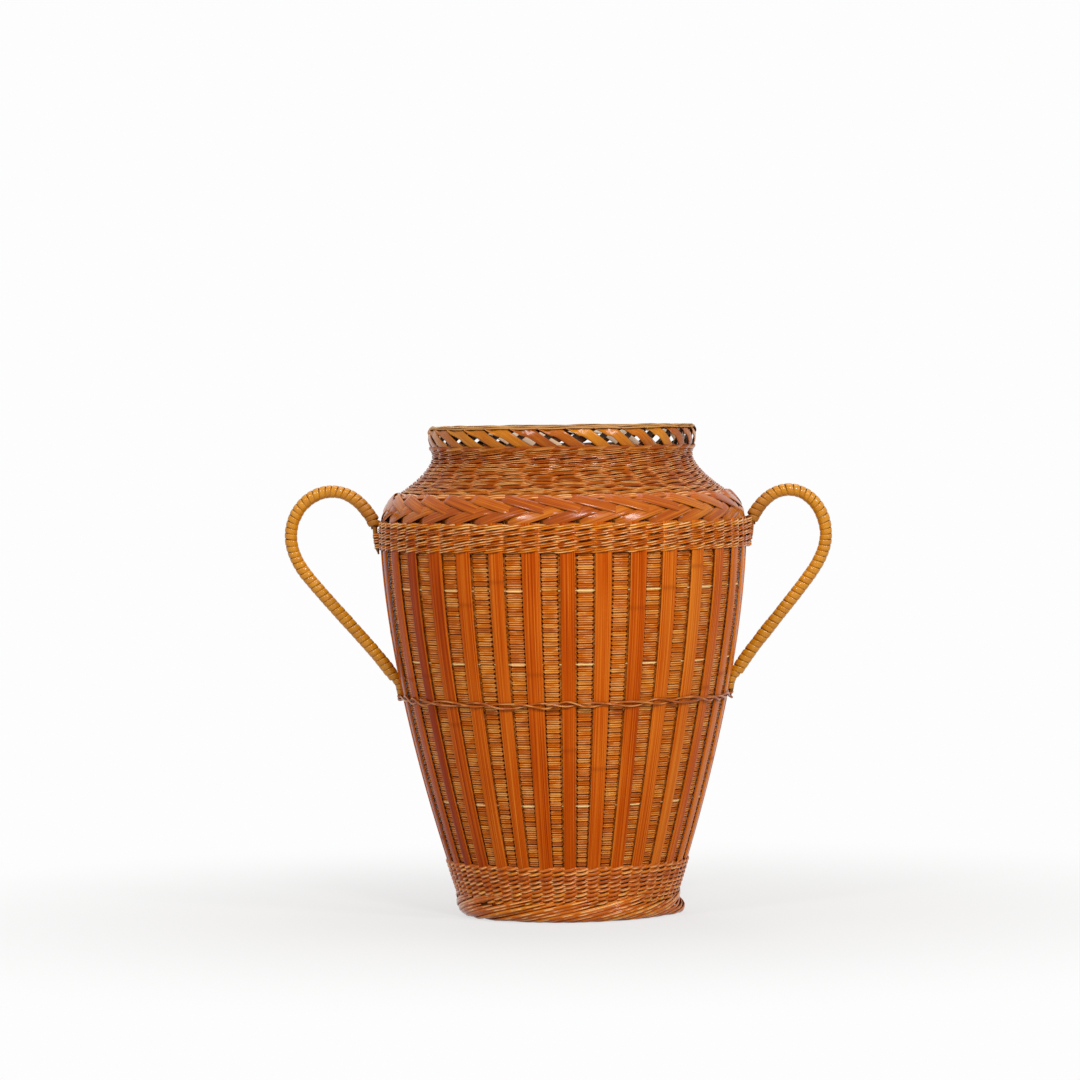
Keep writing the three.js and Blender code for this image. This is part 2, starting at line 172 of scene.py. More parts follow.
@dataclass
class Profile:
    """A wall's outline, as radii and heights, read by the length run along it."""

    radius: Array
    height: Array

    def __post_init__(self) -> None:
        """Measures the run along the outline and the direction out of the wall."""
        step = np.hypot(np.diff(self.radius), np.diff(self.height))
        self.run = np.concatenate(([0.0], np.cumsum(step)))
        way = np.stack((np.gradient(self.radius, self.run), np.gradient(self.height, self.run)))
        way_radius, way_height = way / np.linalg.norm(way, axis=0)
        self.out_radius = way_height
        self.out_height = -way_radius

    def run_at(self, height: Array | float) -> Array:
        """Run at a height, on an outline that only rises."""
        return np.interp(height, self.height, self.run)

    def place(self, angle: Array, run: Array, lift: Array | float = 0.0) -> tuple[Array, Array]:
        """Places points on the wall, or lifted off it.

        Args:
            angle: Angles from the front.
            run: Lengths along the outline.
            lift: Distances out of the wall.

        Returns:
            The points and the directions out of the wall.
        """
        out_radius = np.interp(run, self.run, self.out_radius)
        out_height = np.interp(run, self.run, self.out_height)
        radius = np.interp(run, self.run, self.radius) + lift * out_radius
        height = np.interp(run, self.run, self.height) + lift * out_height
        return polar(radius, angle, height), polar(out_radius, angle, out_height)


@dataclass
class Surface:
    """A mesh under way: points, faces of any number of corners, and what its finish reads."""

    points: Array
    faces: list[Array]
    lay: Array
    tone: Array
    edge: Array
    # Share of painted shade down the sides and backs of strands, where shade falls between them.
    painted_shade: Array
    # Markings for the finish, with painted shade among them.
    mark: Array


def sweep(
    path: Array,
    out: Array,
    half_width: Array | float,
    half_depth: Array | float,
    section: Section,
    tone: Array,
    hoop: bool = False,
    mark: Array | float = 0.0,
) -> Surface:
    """Carries a section along many paths at once.

    At each station the section's width lies across the path and its depth along the direction out:
    point = path + x (half width) across + y (half depth) out. Painted shade grows down the sides and back,
    where shade falls between strands, as (its share at the middle) - (its fade) y.

    Args:
        path: Strands by stations by three.
        out: Directions out at the stations.
        half_width: Half widths, one for all or one a station.
        half_depth: Half depths, one for all or one a station.
        section: Outline of the strands.
        tone: Shade from 0 to 1 of each strand.
        hoop: Whether the last station joins the first.
        mark: Markings for the finish, such as joint rings and unvarnished insides, or painted shade where a
            splint goes behind a stake, one for all or one a station.

    Returns:
        The closed strands.
    """
    strands, stations, _ = path.shape
    corners = section.corners()
    sides = len(corners)
    shape = (strands, stations, sides)
    ahead = np.roll(path, -1, 1) - np.roll(path, 1, 1) if hoop else np.gradient(path, axis=1)
    way = unit(ahead)
    depth = unit(out - (out * way).sum(-1, keepdims=True) * way)
    across = np.cross(depth, way)
    wide = np.broadcast_to(half_width, shape[:2])[..., None] * corners[:, 0]
    deep = np.broadcast_to(half_depth, shape[:2])[..., None] * corners[:, 1]
    points = path[:, :, None] + wide[..., None] * across[:, :, None] + deep[..., None] * depth[:, :, None]

    index = np.arange(strands * stations * sides).reshape(shape)
    near = index if hoop else index[:, :-1]
    far = np.roll(index, -1, 1) if hoop else index[:, 1:]
    quads = np.stack((near, np.roll(near, -1, 2), np.roll(far, -1, 2), far), axis=-1)
    faces = [quads.reshape(-1, 4)]
    if not hoop:
        faces += [index[:, 0, ::-1], index[:, -1]]

    number = np.arange(strands, dtype=float)[:, None, None]
    # Painted shade, darker down the sides and back of each strand.
    stain_and_shade = np.clip(PAINTED_SHADE_AT_MIDDLE - PAINTED_SHADE_FADE * corners[:, 1], 0, 1)
    places = [np.broadcast_to(part, shape) for part in (run_along(path)[..., None], wide, number)]
    return Surface(
        points.reshape(-1, 3),
        faces,
        np.stack(places, axis=-1).reshape(-1, 3),
        np.broadcast_to(np.asarray(tone, float)[:, None, None], shape).ravel(),
        np.broadcast_to(section.from_crest(), shape).ravel(),
        np.broadcast_to(stain_and_shade, shape).ravel(),
        np.broadcast_to(np.broadcast_to(mark, shape[:2])[..., None], shape).ravel(),
    )


def linear(hex_colour: str) -> tuple[float, float, float, float]:
    """Turns an sRGB hex colour to linear.

    Args:
        hex_colour: Colour such as "#a4581d".

    Returns:
        Linear red, green and blue, and alpha 1.
    """
    channels = np.array([int(hex_colour[i:i + 2], 16) for i in (1, 3, 5)]) / 255
    light = np.where(channels <= 0.04045, channels / 12.92, ((channels + 0.055) / 1.055) ** 2.4)
    return (*light.tolist(), 1.0)


def add_node(
    tree: bpy.types.NodeTree,
    kind: str,
    inputs: dict[str | int, object] | None = None,
    **settings: object,
) -> bpy.types.Node:
    """Adds a node with its settings and links.

    Args:
        tree: Node tree that takes the node.
        kind: Type name of the node.
        inputs: Values, or sockets to link, by input name or number.
        settings: Properties of the node.

    Returns:
        The node.
    """
    node = tree.nodes.new(kind)
    for name, value in settings.items():
        setattr(node, name, value)
    for name, value in (inputs or {}).items():
        if isinstance(value, bpy.types.NodeSocket):
            tree.links.new(value, node.inputs[name])
        else:
            node.inputs[name].default_value = value
    return node


@dataclass(frozen=True)
class BambooFinish:
    """Split bamboo, stained and varnished by hand: long fine fibres, uneven stain, a soft gloss."""

    name: str
    deep: str
    middle: str
    pale: str
    fibre_mm: float = 0.5
    run_mm: float = 22.0
    blotch_mm: float = 14.0
    blotch_squash: float = 1.5
    fibre_strand_step: float = 3.7
    blotch_strand_step: float = 5.3
    tone_share: float = 0.55
    fibre_share: float = 0.35
    blotch_share: float = 0.3
    stops: tuple[float, float, float] = (0.2, 0.5, 0.82)
    roughness: float = 0.36
    gloss_swing: float = 0.06
    gloss_fibres: Span = (0.3, 0.7)
    dulling: float = 0.5
    specular: float = 0.2
    relief_mm: float = 0.04
    relief_strength: float = 0.5
    # Pale edges: partly wear, partly painted sheen.
    edge_wear_and_sheen: float = 0.0
    edge_span: Span = (0.86, 1.0)
    # Painted highlights along the crests of strands: their strength, their place across the strand, the
    # blotches that hold them, and their colour.
    crest_highlight: float = 0.0
    crest_highlight_span: Span = (0.36, 0.06)
    highlight_blotches: Span = (0.47, 0.58)
    crest_highlight_colour: str = "#f4be7a"
    # Colour and share of the painted shade down the sides and backs of strands.
    painted_shade: str = "#3a1503"
    painted_shade_share: float = 0.85
    # Colour of the markings, which on the weave's splints is painted shade.
    mark_and_shade_colour: str = "#2a1004"

    def material(self) -> bpy.types.Material:
        """Makes the material.

        Shade is a weighted sum of each strand's own tone, its fibres and its blotches, and it runs from the
        deep stained colour over the middle one to the pale one. The edges are paler, partly from wear and
        partly as painted sheen, and the crests of strands carry painted highlights in patches. The markings
        of a piece, such as joints or unvarnished insides, have their own colour, which on the weave's splints
        is painted shade where they go behind a stake. Painted shade also darkens the sides and backs of
        strands, where shade falls between them. Places with painted shade or markings are dull.

        Returns:
            The material.
        """
        material = bpy.data.materials.new(self.name)
        material.use_nodes = True
        tree = material.node_tree
        tree.nodes.clear()
        lay = add_node(tree, "ShaderNodeAttribute", attribute_name="lay").outputs["Vector"]
        tone, edge, mark, painted_shade = (
            add_node(tree, "ShaderNodeAttribute", attribute_name=label).outputs["Fac"]
            for label in ("tone", "edge", "mark", "painted_shade"))

        fibre_grain = (1 / self.run_mm, 1 / self.fibre_mm, self.fibre_strand_step)
        fibre_place = add_node(tree, "ShaderNodeVectorMath", {0: lay, 1: fibre_grain}, operation="MULTIPLY")
        fibre = add_node(
            tree, "ShaderNodeTexNoise",
            {"Vector": fibre_place.outputs[0], "Scale": 1.0, "Detail": 3.0, "Roughness": 0.6}).outputs["Fac"]
        blotch_grain = (1 / self.blotch_mm, self.blotch_squash / self.blotch_mm, self.blotch_strand_step)
        blotch_place = add_node(tree, "ShaderNodeVectorMath", {0: lay, 1: blotch_grain}, operation="MULTIPLY")
        blotch = add_node(
            tree, "ShaderNodeTexNoise",
            {"Vector": blotch_place.outputs[0], "Scale": 1.0, "Detail": 1.0}).outputs["Fac"]

        parts = ((tone, self.tone_share), (fibre, self.fibre_share), (blotch, self.blotch_share))
        shade = 0.5 - 0.5 * sum(share for _, share in parts)
        for value, share in parts:
            shade = add_node(
                tree, "ShaderNodeMath", {0: value, 1: share, 2: shade}, operation="MULTIPLY_ADD").outputs[0]
        ramp = add_node(tree, "ShaderNodeValToRGB", {"Fac": shade})
        ramp.color_ramp.elements.new(self.stops[1])
        for stop, place, stain_and_shade in zip(
                ramp.color_ramp.elements, self.stops, (self.deep, self.middle, self.pale)):
            stop.position = place
            stop.color = linear(stain_and_shade)

        # Pale edges, partly wear and partly painted sheen, and the crest and patches of the painted
        # highlights.
        rubbed_and_sheen, crest, highlight_patches = (
            add_node(
                tree, "ShaderNodeMapRange",
                {"Value": value, "From Min": span[0], "From Max": span[1], "To Max": wear}).outputs[0]
            for value, span, wear in (
                (edge, self.edge_span, self.edge_wear_and_sheen),
                (edge, self.crest_highlight_span, self.crest_highlight),
                (blotch, self.highlight_blotches, 1.0)))
        # Painted highlights along the crests of strands, in patches.
        bare_and_highlight = add_node(tree, "ShaderNodeMath", {0: crest, 1: highlight_patches}, operation="MULTIPLY").outputs[0]
        # Painted shade down the sides and backs of strands.
        painted_shade_factor = add_node(
            tree, "ShaderNodeMath", {0: painted_shade, 1: self.painted_shade_share}, operation="MULTIPLY").outputs[0]
        colour = ramp.outputs["Color"]
        for factor, layer in (
                (rubbed_and_sheen, self.pale), (bare_and_highlight, self.crest_highlight_colour), (mark, self.mark_and_shade_colour), (painted_shade_factor, self.painted_shade)):
            colour = add_node(
                tree, "ShaderNodeMix", {"Factor": factor, "A": colour, "B": linear(layer)},
                data_type="RGBA").outputs["Result"]

        hidden = add_node(tree, "ShaderNodeMath", {0: painted_shade, 1: mark}, operation="MAXIMUM")
        gloss = add_node(
            tree, "ShaderNodeMapRange",
            {"Value": fibre, "From Min": self.gloss_fibres[0], "From Max": self.gloss_fibres[1],
             "To Min": self.roughness - self.gloss_swing, "To Max": self.roughness + self.gloss_swing})
        dull = add_node(
            tree, "ShaderNodeMath", {0: hidden.outputs[0], 1: self.dulling, 2: gloss.outputs[0]},
            operation="MULTIPLY_ADD", use_clamp=True)
        bump = add_node(
            tree, "ShaderNodeBump",
            {"Height": fibre, "Strength": self.relief_strength, "Distance": self.relief_mm * MM})
        shader = add_node(
            tree, "ShaderNodeBsdfPrincipled",
            {"Base Color": colour, "Roughness": dull.outputs[0], "IOR": 1.5,
             "Specular IOR Level": self.specular, "Normal": bump.outputs[0]})
        add_node(tree, "ShaderNodeOutputMaterial", {"Surface": shader.outputs[0]})
        return material


# Thin splints of the wall: golden orange, with painted shade in the recesses and where they go behind a
# stake, and painted highlights along their crests in patches.
WEAVE_FINISH = BambooFinish(
    "fine_bamboo_splint", "#963a00", "#c66404", "#e8a440", roughness=0.2, specular=0.12, blotch_mm=9.0,
    crest_highlight=0.5, fibre_mm=0.4, tone_share=0.45, painted_shade="#541c00", mark_and_shade_colour="#2c1002")
# Single splints that took no stain: pale straw, dull, thin bright lines across the panels, with painted shade
# where they go behind a stake and a little down their sides.
RAW_FINISH = BambooFinish(
    "raw_straw_splint", "#c89648", "#e6c078", "#f8e0a6", roughness=0.4, specular=0.1, painted_shade_share=0.3,
    mark_and_shade_colour="#2c1002")
# Flat stakes inside the weave: dull, and coloured very deep brown as painted shade, seen only as specks
# between the splints.
STAKE_FINISH = BambooFinish("bamboo_stake", "#3e1602", "#562204", "#744012", roughness=0.55, specular=0.08)
# Slats with the outer skin on: smooth red-brown varnish, long fine grain, pale edges that are partly wear and
# partly painted sheen, joint rings.
SLAT_FINISH = BambooFinish(
    "varnished_bamboo_slat", "#8c2c00", "#b84c02", "#d27620", run_mm=120.0, blotch_mm=60.0, tone_share=0.5,
    fibre_share=1.5, blotch_share=0.4, roughness=0.26, specular=0.05, relief_mm=0.02, edge_wear_and_sheen=0.5,
    painted_shade_share=0.0, mark_and_shade_colour="#7a2c06")
# Twining strands of the bands: glossy, deep orange-brown, with painted highlights along their crests in
# patches, and painted shade down their sides.
BAND_FINISH = BambooFinish(
    "twined_cane", "#a04600", "#c46206", "#d88c20", roughness=0.16, specular=0.18, crest_highlight=0.8,
    crest_highlight_colour="#fcd494", blotch_mm=7.0, painted_shade="#541c00")
# Flat braided strips: broad satin highlights across the grain, pale edges painted as sheen, and painted shade
# down their sides.
BRAID_FINISH = BambooFinish(
    "braided_bamboo_strip", "#8a3800", "#a64c00", "#be6e12", roughness=0.19, run_mm=40.0, tone_share=0.3,
    fibre_share=1.5, edge_wear_and_sheen=0.25)
# Twined neck strands: as the bands, a little darker.
NECK_FINISH = BambooFinish(
    "twined_neck_cane", "#8a3804", "#ac540a", "#c07c2c", roughness=0.2, specular=0.16, crest_highlight=0.75,
    blotch_mm=9.0, painted_shade="#4c1a02")
# Folded rim straps: amber, and bare straw on the side turned to the inside.
RIM_FINISH = BambooFinish(
    "folded_rim_strip", "#8c3a02", "#b26004", "#c88016", roughness=0.22, specular=0.22, fibre_mm=0.6,
    tone_share=0.4, fibre_share=0.7, mark_and_shade_colour="#e6d8be")
# Cut ends of stakes and the splints that edge the rim: bare bamboo without varnish.
STRAW_FINISH = BambooFinish("bare_bamboo_end", "#8c5420", "#b48046", "#d6ae76", roughness=0.5, specular=0.15)
# Split cane round the handles: honey brown, smooth and glossy, with painted shade in the grooves between
# turns.
CANE_FINISH = BambooFinish(
    "honey_wrapping_cane", "#a05c08", "#c48018", "#dca640", roughness=0.18, specular=0.3, fibre_mm=0.45,
    run_mm=18.0, blotch_mm=8.0, fibre_share=0.25, relief_mm=0.015, painted_shade="#6c380a", painted_shade_share=0.65,
    mark_and_shade_colour="#84460e")
# Bare cane of the handles' tails: the same cane, not wound, with a little painted shade down its sides.
TAIL_FINISH = BambooFinish(
    "honey_cane_tail", "#7a420e", "#98601e", "#b47e38", roughness=0.25, painted_shade_share=0.3)
# Splints of the base: unvarnished and dull.
BASE_FINISH = BambooFinish("dull_base_splint", "#7a3e10", "#a8662a", "#c8965a", roughness=0.55, specular=0.1)


def add_piece(
    name: str,
    surface: Surface,
    material: bpy.types.Material,
    nodes: Sequence[str],
) -> None:
    """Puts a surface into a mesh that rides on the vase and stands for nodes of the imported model.

    Args:
        name: Name of the piece.
        surface: Its points and faces.
        material: Its finish.
        nodes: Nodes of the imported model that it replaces.
    """
    mesh = bpy.data.meshes.new(name)
    sizes = np.concatenate([np.full(len(block), block.shape[1]) for block in surface.faces])
    corners = np.concatenate([block.ravel() for block in surface.faces])
    mesh.vertices.add(len(surface.points))
    mesh.vertices.foreach_set("co", (surface.points * MM).astype(np.float32).ravel())
    mesh.loops.add(len(corners))
    mesh.loops.foreach_set("vertex_index", corners.astype(np.int32))
    mesh.polygons.add(len(sizes))
    mesh.polygons.foreach_set("loop_start", (np.cumsum(sizes) - sizes).astype(np.int32))
    mesh.polygons.foreach_set("use_smooth", np.ones(len(sizes), bool))
    for label, kind, field, values in (
        ("lay", "FLOAT_VECTOR", "vector", surface.lay),
        ("tone", "FLOAT", "value", surface.tone),
        ("edge", "FLOAT", "value", surface.edge),
        ("painted_shade", "FLOAT", "value", surface.painted_shade),
        ("mark", "FLOAT", "value", surface.mark),
    ):
        attribute = mesh.attributes.new(label, kind, "POINT")
        attribute.data.foreach_set(field, values.astype(np.float32).ravel())
    mesh.update(calc_edges=True)
    mesh.validate()
    mesh.set_sharp_from_angle(angle=SHARP_ANGLE)
    mesh.materials.append(material)
    piece = bpy.data.objects.new(name, mesh)
    bpy.context.scene.collection.objects.link(piece)
    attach(piece, "root")
    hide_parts(*nodes)
    log.info("%s: %d faces", name, len(sizes))


@dataclass
class VaseForm:
    """Heights and radii that the pieces share."""

    foot_top: float = 9.0
    waist: float = 112.0
    upper_band_bottom: float = 188.0
    upper_band_top: float = 202.0
    braid_top: float = 216.0
    neck_top: float = 239.0
    rim_top: float = 250.0
    widest: float = 195.0
    foot_radius: float = 54.4
    shoulder_radius: float = 92.6
    belly_power: float = 1.6
    wall_overrun: float = 4.0
    wall_steps: int = 240
    slat_count: int = 32
    slat_turn: float = math.radians(0.8)
    slat_gap: float = 0.3
    slat_thickness: float = 1.0
    slat_foot_half: float = 3.05
    slat_top_half: float = 4.3
    tail_width: float = 4.0
    tail_thickness: float = 2.0
    tail_lean: float = 1.7
    tail_margin: float = 0.6
    tail_sink: float = 0.3
    swell_run: float = 5.0

    def weave_radius(self, height: Array | float) -> Array:
        """Outside of the weave at a height: shoulder - (shoulder - foot) (drop / full drop)^power."""
        share = np.abs(self.widest - height) / (self.widest - self.foot_top)
        return self.shoulder_radius - (self.shoulder_radius - self.foot_radius) * share ** self.belly_power

    def slat_face(self, height: Array | float) -> Array:
        """Outside of the slats at a height."""
        return self.weave_radius(height) + self.slat_gap + self.slat_thickness

    def ledge_radius(self) -> float:
        """Outside of the weave at the upper band's top, where the braid starts."""
        return float(self.weave_radius(self.upper_band_top))

    def wall_top(self) -> float:
        """Height up to which the wall's outline is drawn, a little past the upper band."""
        return self.upper_band_top + self.wall_overrun

    def wall(self, low: float, high: float, offset: float) -> Profile:
        """Outline of the wall between two heights, set out from the weave by an offset."""
        height = np.linspace(low, high, self.wall_steps)
        return Profile(self.weave_radius(height) + offset, height)

    def slat_pitch(self) -> float:
        """Angle from slat to slat."""
        return FULL_TURN / self.slat_count

    def slat_angles(self) -> Array:
        """Angles of the slats."""
        return self.slat_turn + FULL_TURN * np.arange(self.slat_count) / self.slat_count

    def panel_angles(self) -> Array:
        """Angles of the panels, midway between the slats."""
        return self.slat_angles() + self.slat_pitch() / 2

    def panel_half(self, height: Array) -> Array:
        """Half width of the panels that the slats leave open at a height.

        Args:
            height: Heights over the table.

        Returns:
            Half the slats' pitch less half a slat's width at each height.
        """
        ends = (self.foot_top, self.upper_band_top)
        slat = np.interp(height, ends, (self.slat_foot_half, self.slat_top_half))
        return math.pi * self.weave_radius(height) / self.slat_count - slat

    def tail_share(self, angle: Array, radius: float) -> Array:
        """Share of its swelling that a ring has over the handles' tails.

        Args:
            angle: Angles from the front.
            radius: Radius of the ring.

        Returns:
            1 over a tail, easing to 0 within the swelling's run beside it.
        """
        flat = (self.tail_width / 2 + self.tail_margin) / radius
        away = np.abs(np.arcsin(np.cos(angle)))
        return 1 - ease(away, flat, flat + self.swell_run / radius)


@dataclass
class Part:
    """A sub-assembly: the form that it follows, and the generator of its unevenness."""

    form: VaseForm
    rng: np.random.Generator


@dataclass
class BodyWeave(Part):
    """Wall of fine splints, woven in pairs in front of and behind the stake in the middle of each panel.

    The splints change sides behind the slats, so each panel shows every second splint. Shares of a stake's
    half width, counted from its middle, give where a splint crosses to the other side and where it broadens.
    """

    row_pitch: float = 1.154
    low: float = 9.8
    high: float = 202.6
    middle_depth: float = 1.0
    swing: float = 0.8
    half_depth: float = 0.3
    thin_half: float = 0.62
    broad_half: float = 1.15
    tone_range: Span = (0.25, 0.75)
    row_jitter: float = 0.05
    row_wander: float = 0.07
    stations: tuple[float, ...] = (1.4, 1.24, 1.08, 0.98)
    crossing: Span = (0.9, 1.38)
    broadening: Span = (0.96, 1.1)
    # Share and depth range of the painted shade on a splint where it goes behind a stake.
    behind_shade_share: float = 0.85
    behind_shade_depth: Span = (0.1, 0.6)
    stake_share: float = 0.72
    stake_half_depth: float = 0.35
    stake_cover: float = 1.24
    stake_overrun: Span = (2.0, 1.0)
    stake_tones: Span = (0.2, 0.8)
    stake_stations: int = 36
    straw_levels: tuple[float, ...] = (168.6, 132.3, 61.0)
    straw_half: float = 0.36
    straw_lift: float = 0.16
    straw_tone: float = 0.7

    def build(self) -> None:
        """Builds the splints in four lengths of wall, the straw ones, and the stakes that they go round."""
        material = WEAVE_FINISH.material()
        rows = int((self.high - self.low) / self.row_pitch)
        tones = self.rng.uniform(*self.tone_range, rows)
        even_levels = self.low + self.row_pitch * np.arange(rows)
        levels = even_levels + self.rng.normal(0, self.row_jitter, rows)
        sides = alternating(rows)
        names = ("weft_foot", "weft_lower", "weft_upper", "weft_shoulder")
        for name, part in zip(names, np.array_split(np.arange(rows), len(names))):
            surface = self.splints(levels[part], sides[part], tones[part], self.broad_half)
            add_piece(name, surface, material, ["body_weave"])
        straw = np.abs(even_levels[:, None] - np.array(self.straw_levels)).argmin(axis=0)
        surface = self.splints(
            levels[straw], sides[straw], np.full(len(straw), self.straw_tone), self.straw_half,
            self.straw_lift, Section.SPLINT)
        add_piece("weft_straws", surface, RAW_FINISH.material(), ["body_weave"])
        add_piece("panel_stakes", self.stakes(), STAKE_FINISH.material(), ["body_weave"])

    def stake_half(self, height: Array) -> Array:
        """Half width of the stakes at a height."""
        return self.stake_share * self.form.panel_half(height)

    def splints(
        self,
        levels: Array,
        sides: Array,
        tones: Array,
        broad_half: float,
        lift: float = 0.0,
        section: Section = Section.SPLINT_PAIR,
    ) -> Surface:
        """Rows of splints: lift = swing side (1 - ease(u)), where u is the distance from a stake's middle.

        A splint is broad and flat where it lies over a stake, and thin beside it. Where it goes behind one it
        carries painted shade, which shows as a row of darker dots along each side of a panel.

        Args:
            levels: Heights of the rows.
            sides: 1 for rows in front at the first panel, -1 for rows behind it.
            tones: Shades of the rows.
            broad_half: Half width over a stake.
            lift: Distance by which the rows lie further out.
            section: Outline of the splints.

        Returns:
            The splints.
        """
        form = self.form
        wall = form.wall(0, form.wall_top(), -self.middle_depth)
        stake = (self.stake_half(levels) / (form.weave_radius(levels) - self.middle_depth))[:, None]
        flank = np.array(self.stations)
        beside = np.concatenate((-flank, flank[::-1])) * stake
        behind_slat = np.full((len(levels), 1), -form.slat_pitch() / 2)
        beside = np.concatenate((behind_slat, beside), axis=1)
        panels = math.pi + form.panel_angles()[:, None]
        angle = (panels + beside[:, None]).reshape(len(levels), -1)
        away = np.tile(np.abs(beside) / stake, form.slat_count)
        change = np.repeat(alternating(form.slat_count), beside.shape[1])
        front = sides[:, None] * change * (1 - ease(away, *self.crossing))
        wander = self.row_wander * np.sin(3 * angle + 2.4 * np.arange(len(levels))[:, None])
        path, out = wall.place(angle, wall.run_at(levels)[:, None] + wander, self.swing * front + lift)
        over = (1 - ease(away, *self.broadening)) * (front > 0)
        thin_half = min(self.thin_half, broad_half)
        half = thin_half + (broad_half - thin_half) * over
        # Painted shade where a splint goes behind a stake, shown as rows of darker dots.
        behind_shade = self.behind_shade_share * ease(-front, *self.behind_shade_depth)
        return sweep(path, out, half, self.half_depth, section, tones, hoop=True, mark=behind_shade)

    def stakes(self) -> Surface:
        """Flat stakes up the middle of the panels, narrower towards the foot.

        Returns:
            The stakes, which reach sideways under the rows of dots.
        """
        below, above = self.stake_overrun
        wall = self.form.wall(self.low - below, self.high + above, -self.middle_depth)
        run = np.linspace(0, wall.run[-1], self.stake_stations)
        angle = self.form.panel_angles()[:, None]
        path, out = wall.place(angle, run[None])
        half = self.stake_cover * self.stake_half(np.interp(run, wall.run, wall.height))
        tones = self.rng.uniform(*self.stake_tones, len(angle))
        return sweep(path, out, half, self.stake_half_depth, Section.SPLINT, tones)


@dataclass
class SlatField(Part):
    """Upright varnished slats over the weave, each with its own tone, width and joint ring, and painted light
    that makes them paler to the right.
    """

    low: float = 8.6
    high: float = 202.8
    stations: int = 220
    painted_light_swing: float = 0.3
    tone_spread: float = 0.22
    width_range: Span = (0.9, 1.1)
    angle_spread: float = 0.0022
    joint_range: Span = (0.05, 0.95)
    joint_height: float = 0.1
    joint_spread: float = 1.1
    joint_mark: float = 0.35

    def build(self) -> None:
        """Builds one piece a slat: painted light makes it paler to the right by the sine of its angle, its
        joint a bell curve.
        """
        material = SLAT_FINISH.material()
        form = self.form
        wall = form.wall(self.low, self.high, form.slat_gap + form.slat_thickness / 2)
        run = np.linspace(0, wall.run[-1], self.stations)
        turn = form.slat_angles()
        uneven = self.rng.normal(0, self.tone_spread, form.slat_count)
        # Painted light: slats paler to the right, by the sine of their angle, on top of their own uneven
        # tone.
        tones = np.clip(0.5 + self.painted_light_swing * np.sin(turn) + uneven, 0, 1)
        widths = self.rng.uniform(*self.width_range, form.slat_count)
        angles = turn + self.rng.normal(0, self.angle_spread, form.slat_count)
        joints = self.rng.uniform(*self.joint_range, form.slat_count) * run[-1]
        even_half = np.interp(run, (0, run[-1]), (form.slat_foot_half, form.slat_top_half))
        for i in range(form.slat_count):
            path, out = wall.place(angles[None, [i]], run[None])
            ring = np.exp(-(((run - joints[i]) / self.joint_spread) ** 2))
            half = widths[i] * even_half
            depth = form.slat_thickness / 2 + self.joint_height * ring
            surface = sweep(path, out, half, depth, Section.SLAT, tones[[i]], mark=self.joint_mark * ring)
            surface.lay[:, 2] = i
            add_piece(f"bamboo_slat_{i + 1:02d}", surface, material, [f"slat_{i + 1:02d}"])


@dataclass
class TwinedRows(Part):
    """Rows of two strands that twist half a turn between stakes, so one strand passes in front of each."""

    profile: Profile
    rows: Array
    stakes: int
    swing: float
    sway: Array | float
    half_width: float
    half_depth: float
    swell_left: Array | float = 0.0
    swell_right: Array | float = 0.0
    stagger: float = 0.0
    stations_a_stake: int = 10
    section: Section = Section.ROUND
    twist_power: float = 1.4
    swell_span: Span = (-0.4, 0.5)
    wander: Span = (0.13, 0.08)
    width_spread: float = 0.04
    tone_range: Span = (0.25, 0.75)
    tone_spread: float = 0.12

    def strands(self) -> Surface:
        """Twined strands: lift = swing cos p and climb = sway sign(sin p) |sin p|^power, with p = pi a stake.

        Rows are a little out of step with each other, by their stagger in stakes, and wander by sines. They
        swell over the handles' tails where they pass in front.

        Returns:
            Both strands of every row.
        """
        angle = hoop_angles(self.stakes * self.stations_a_stake)
        count = len(self.rows)
        stake = (angle - self.form.slat_turn) * self.stakes / FULL_TURN
        shift = self.rng.normal(0, 1, (count, 1, 1)) * self.stagger
        phase = math.pi * (stake + np.arange(2)[:, None] + shift)
        twist = np.sign(np.sin(phase)) * np.abs(np.sin(phase)) ** self.twist_power
        share = self.form.tail_share(angle, float(self.profile.radius.mean()))
        left, right, sway = (
            np.broadcast_to(size, count)[:, None, None]
            for size in (self.swell_left, self.swell_right, self.sway))
        swell = np.where(np.sin(angle) < 0, left, right) * share * ease(np.cos(phase), *self.swell_span)
        starts = self.rng.uniform(0, FULL_TURN, (2, count, 1, 1))
        slow, quick = self.wander
        wander = slow * np.sin(5 * angle + starts[0]) + quick * np.sin(13 * angle + starts[1])
        run = self.rows[:, None, None] + sway * twist + wander
        uneven = self.rng.normal(1, self.width_spread, (count, 2, 1))
        path, out = self.profile.place(angle, run, self.swing * np.cos(phase) + swell)
        shape = (count * 2, len(angle), 3)
        half = np.broadcast_to(self.half_width * uneven, (count, 2, len(angle))).reshape(shape[:2])
        tones = np.repeat(self.rng.uniform(*self.tone_range, count), 2)
        tones = tones + self.rng.normal(0, self.tone_spread, count * 2)
        return sweep(
            path.reshape(shape), out.reshape(shape), half, self.half_depth, self.section, tones, hoop=True)


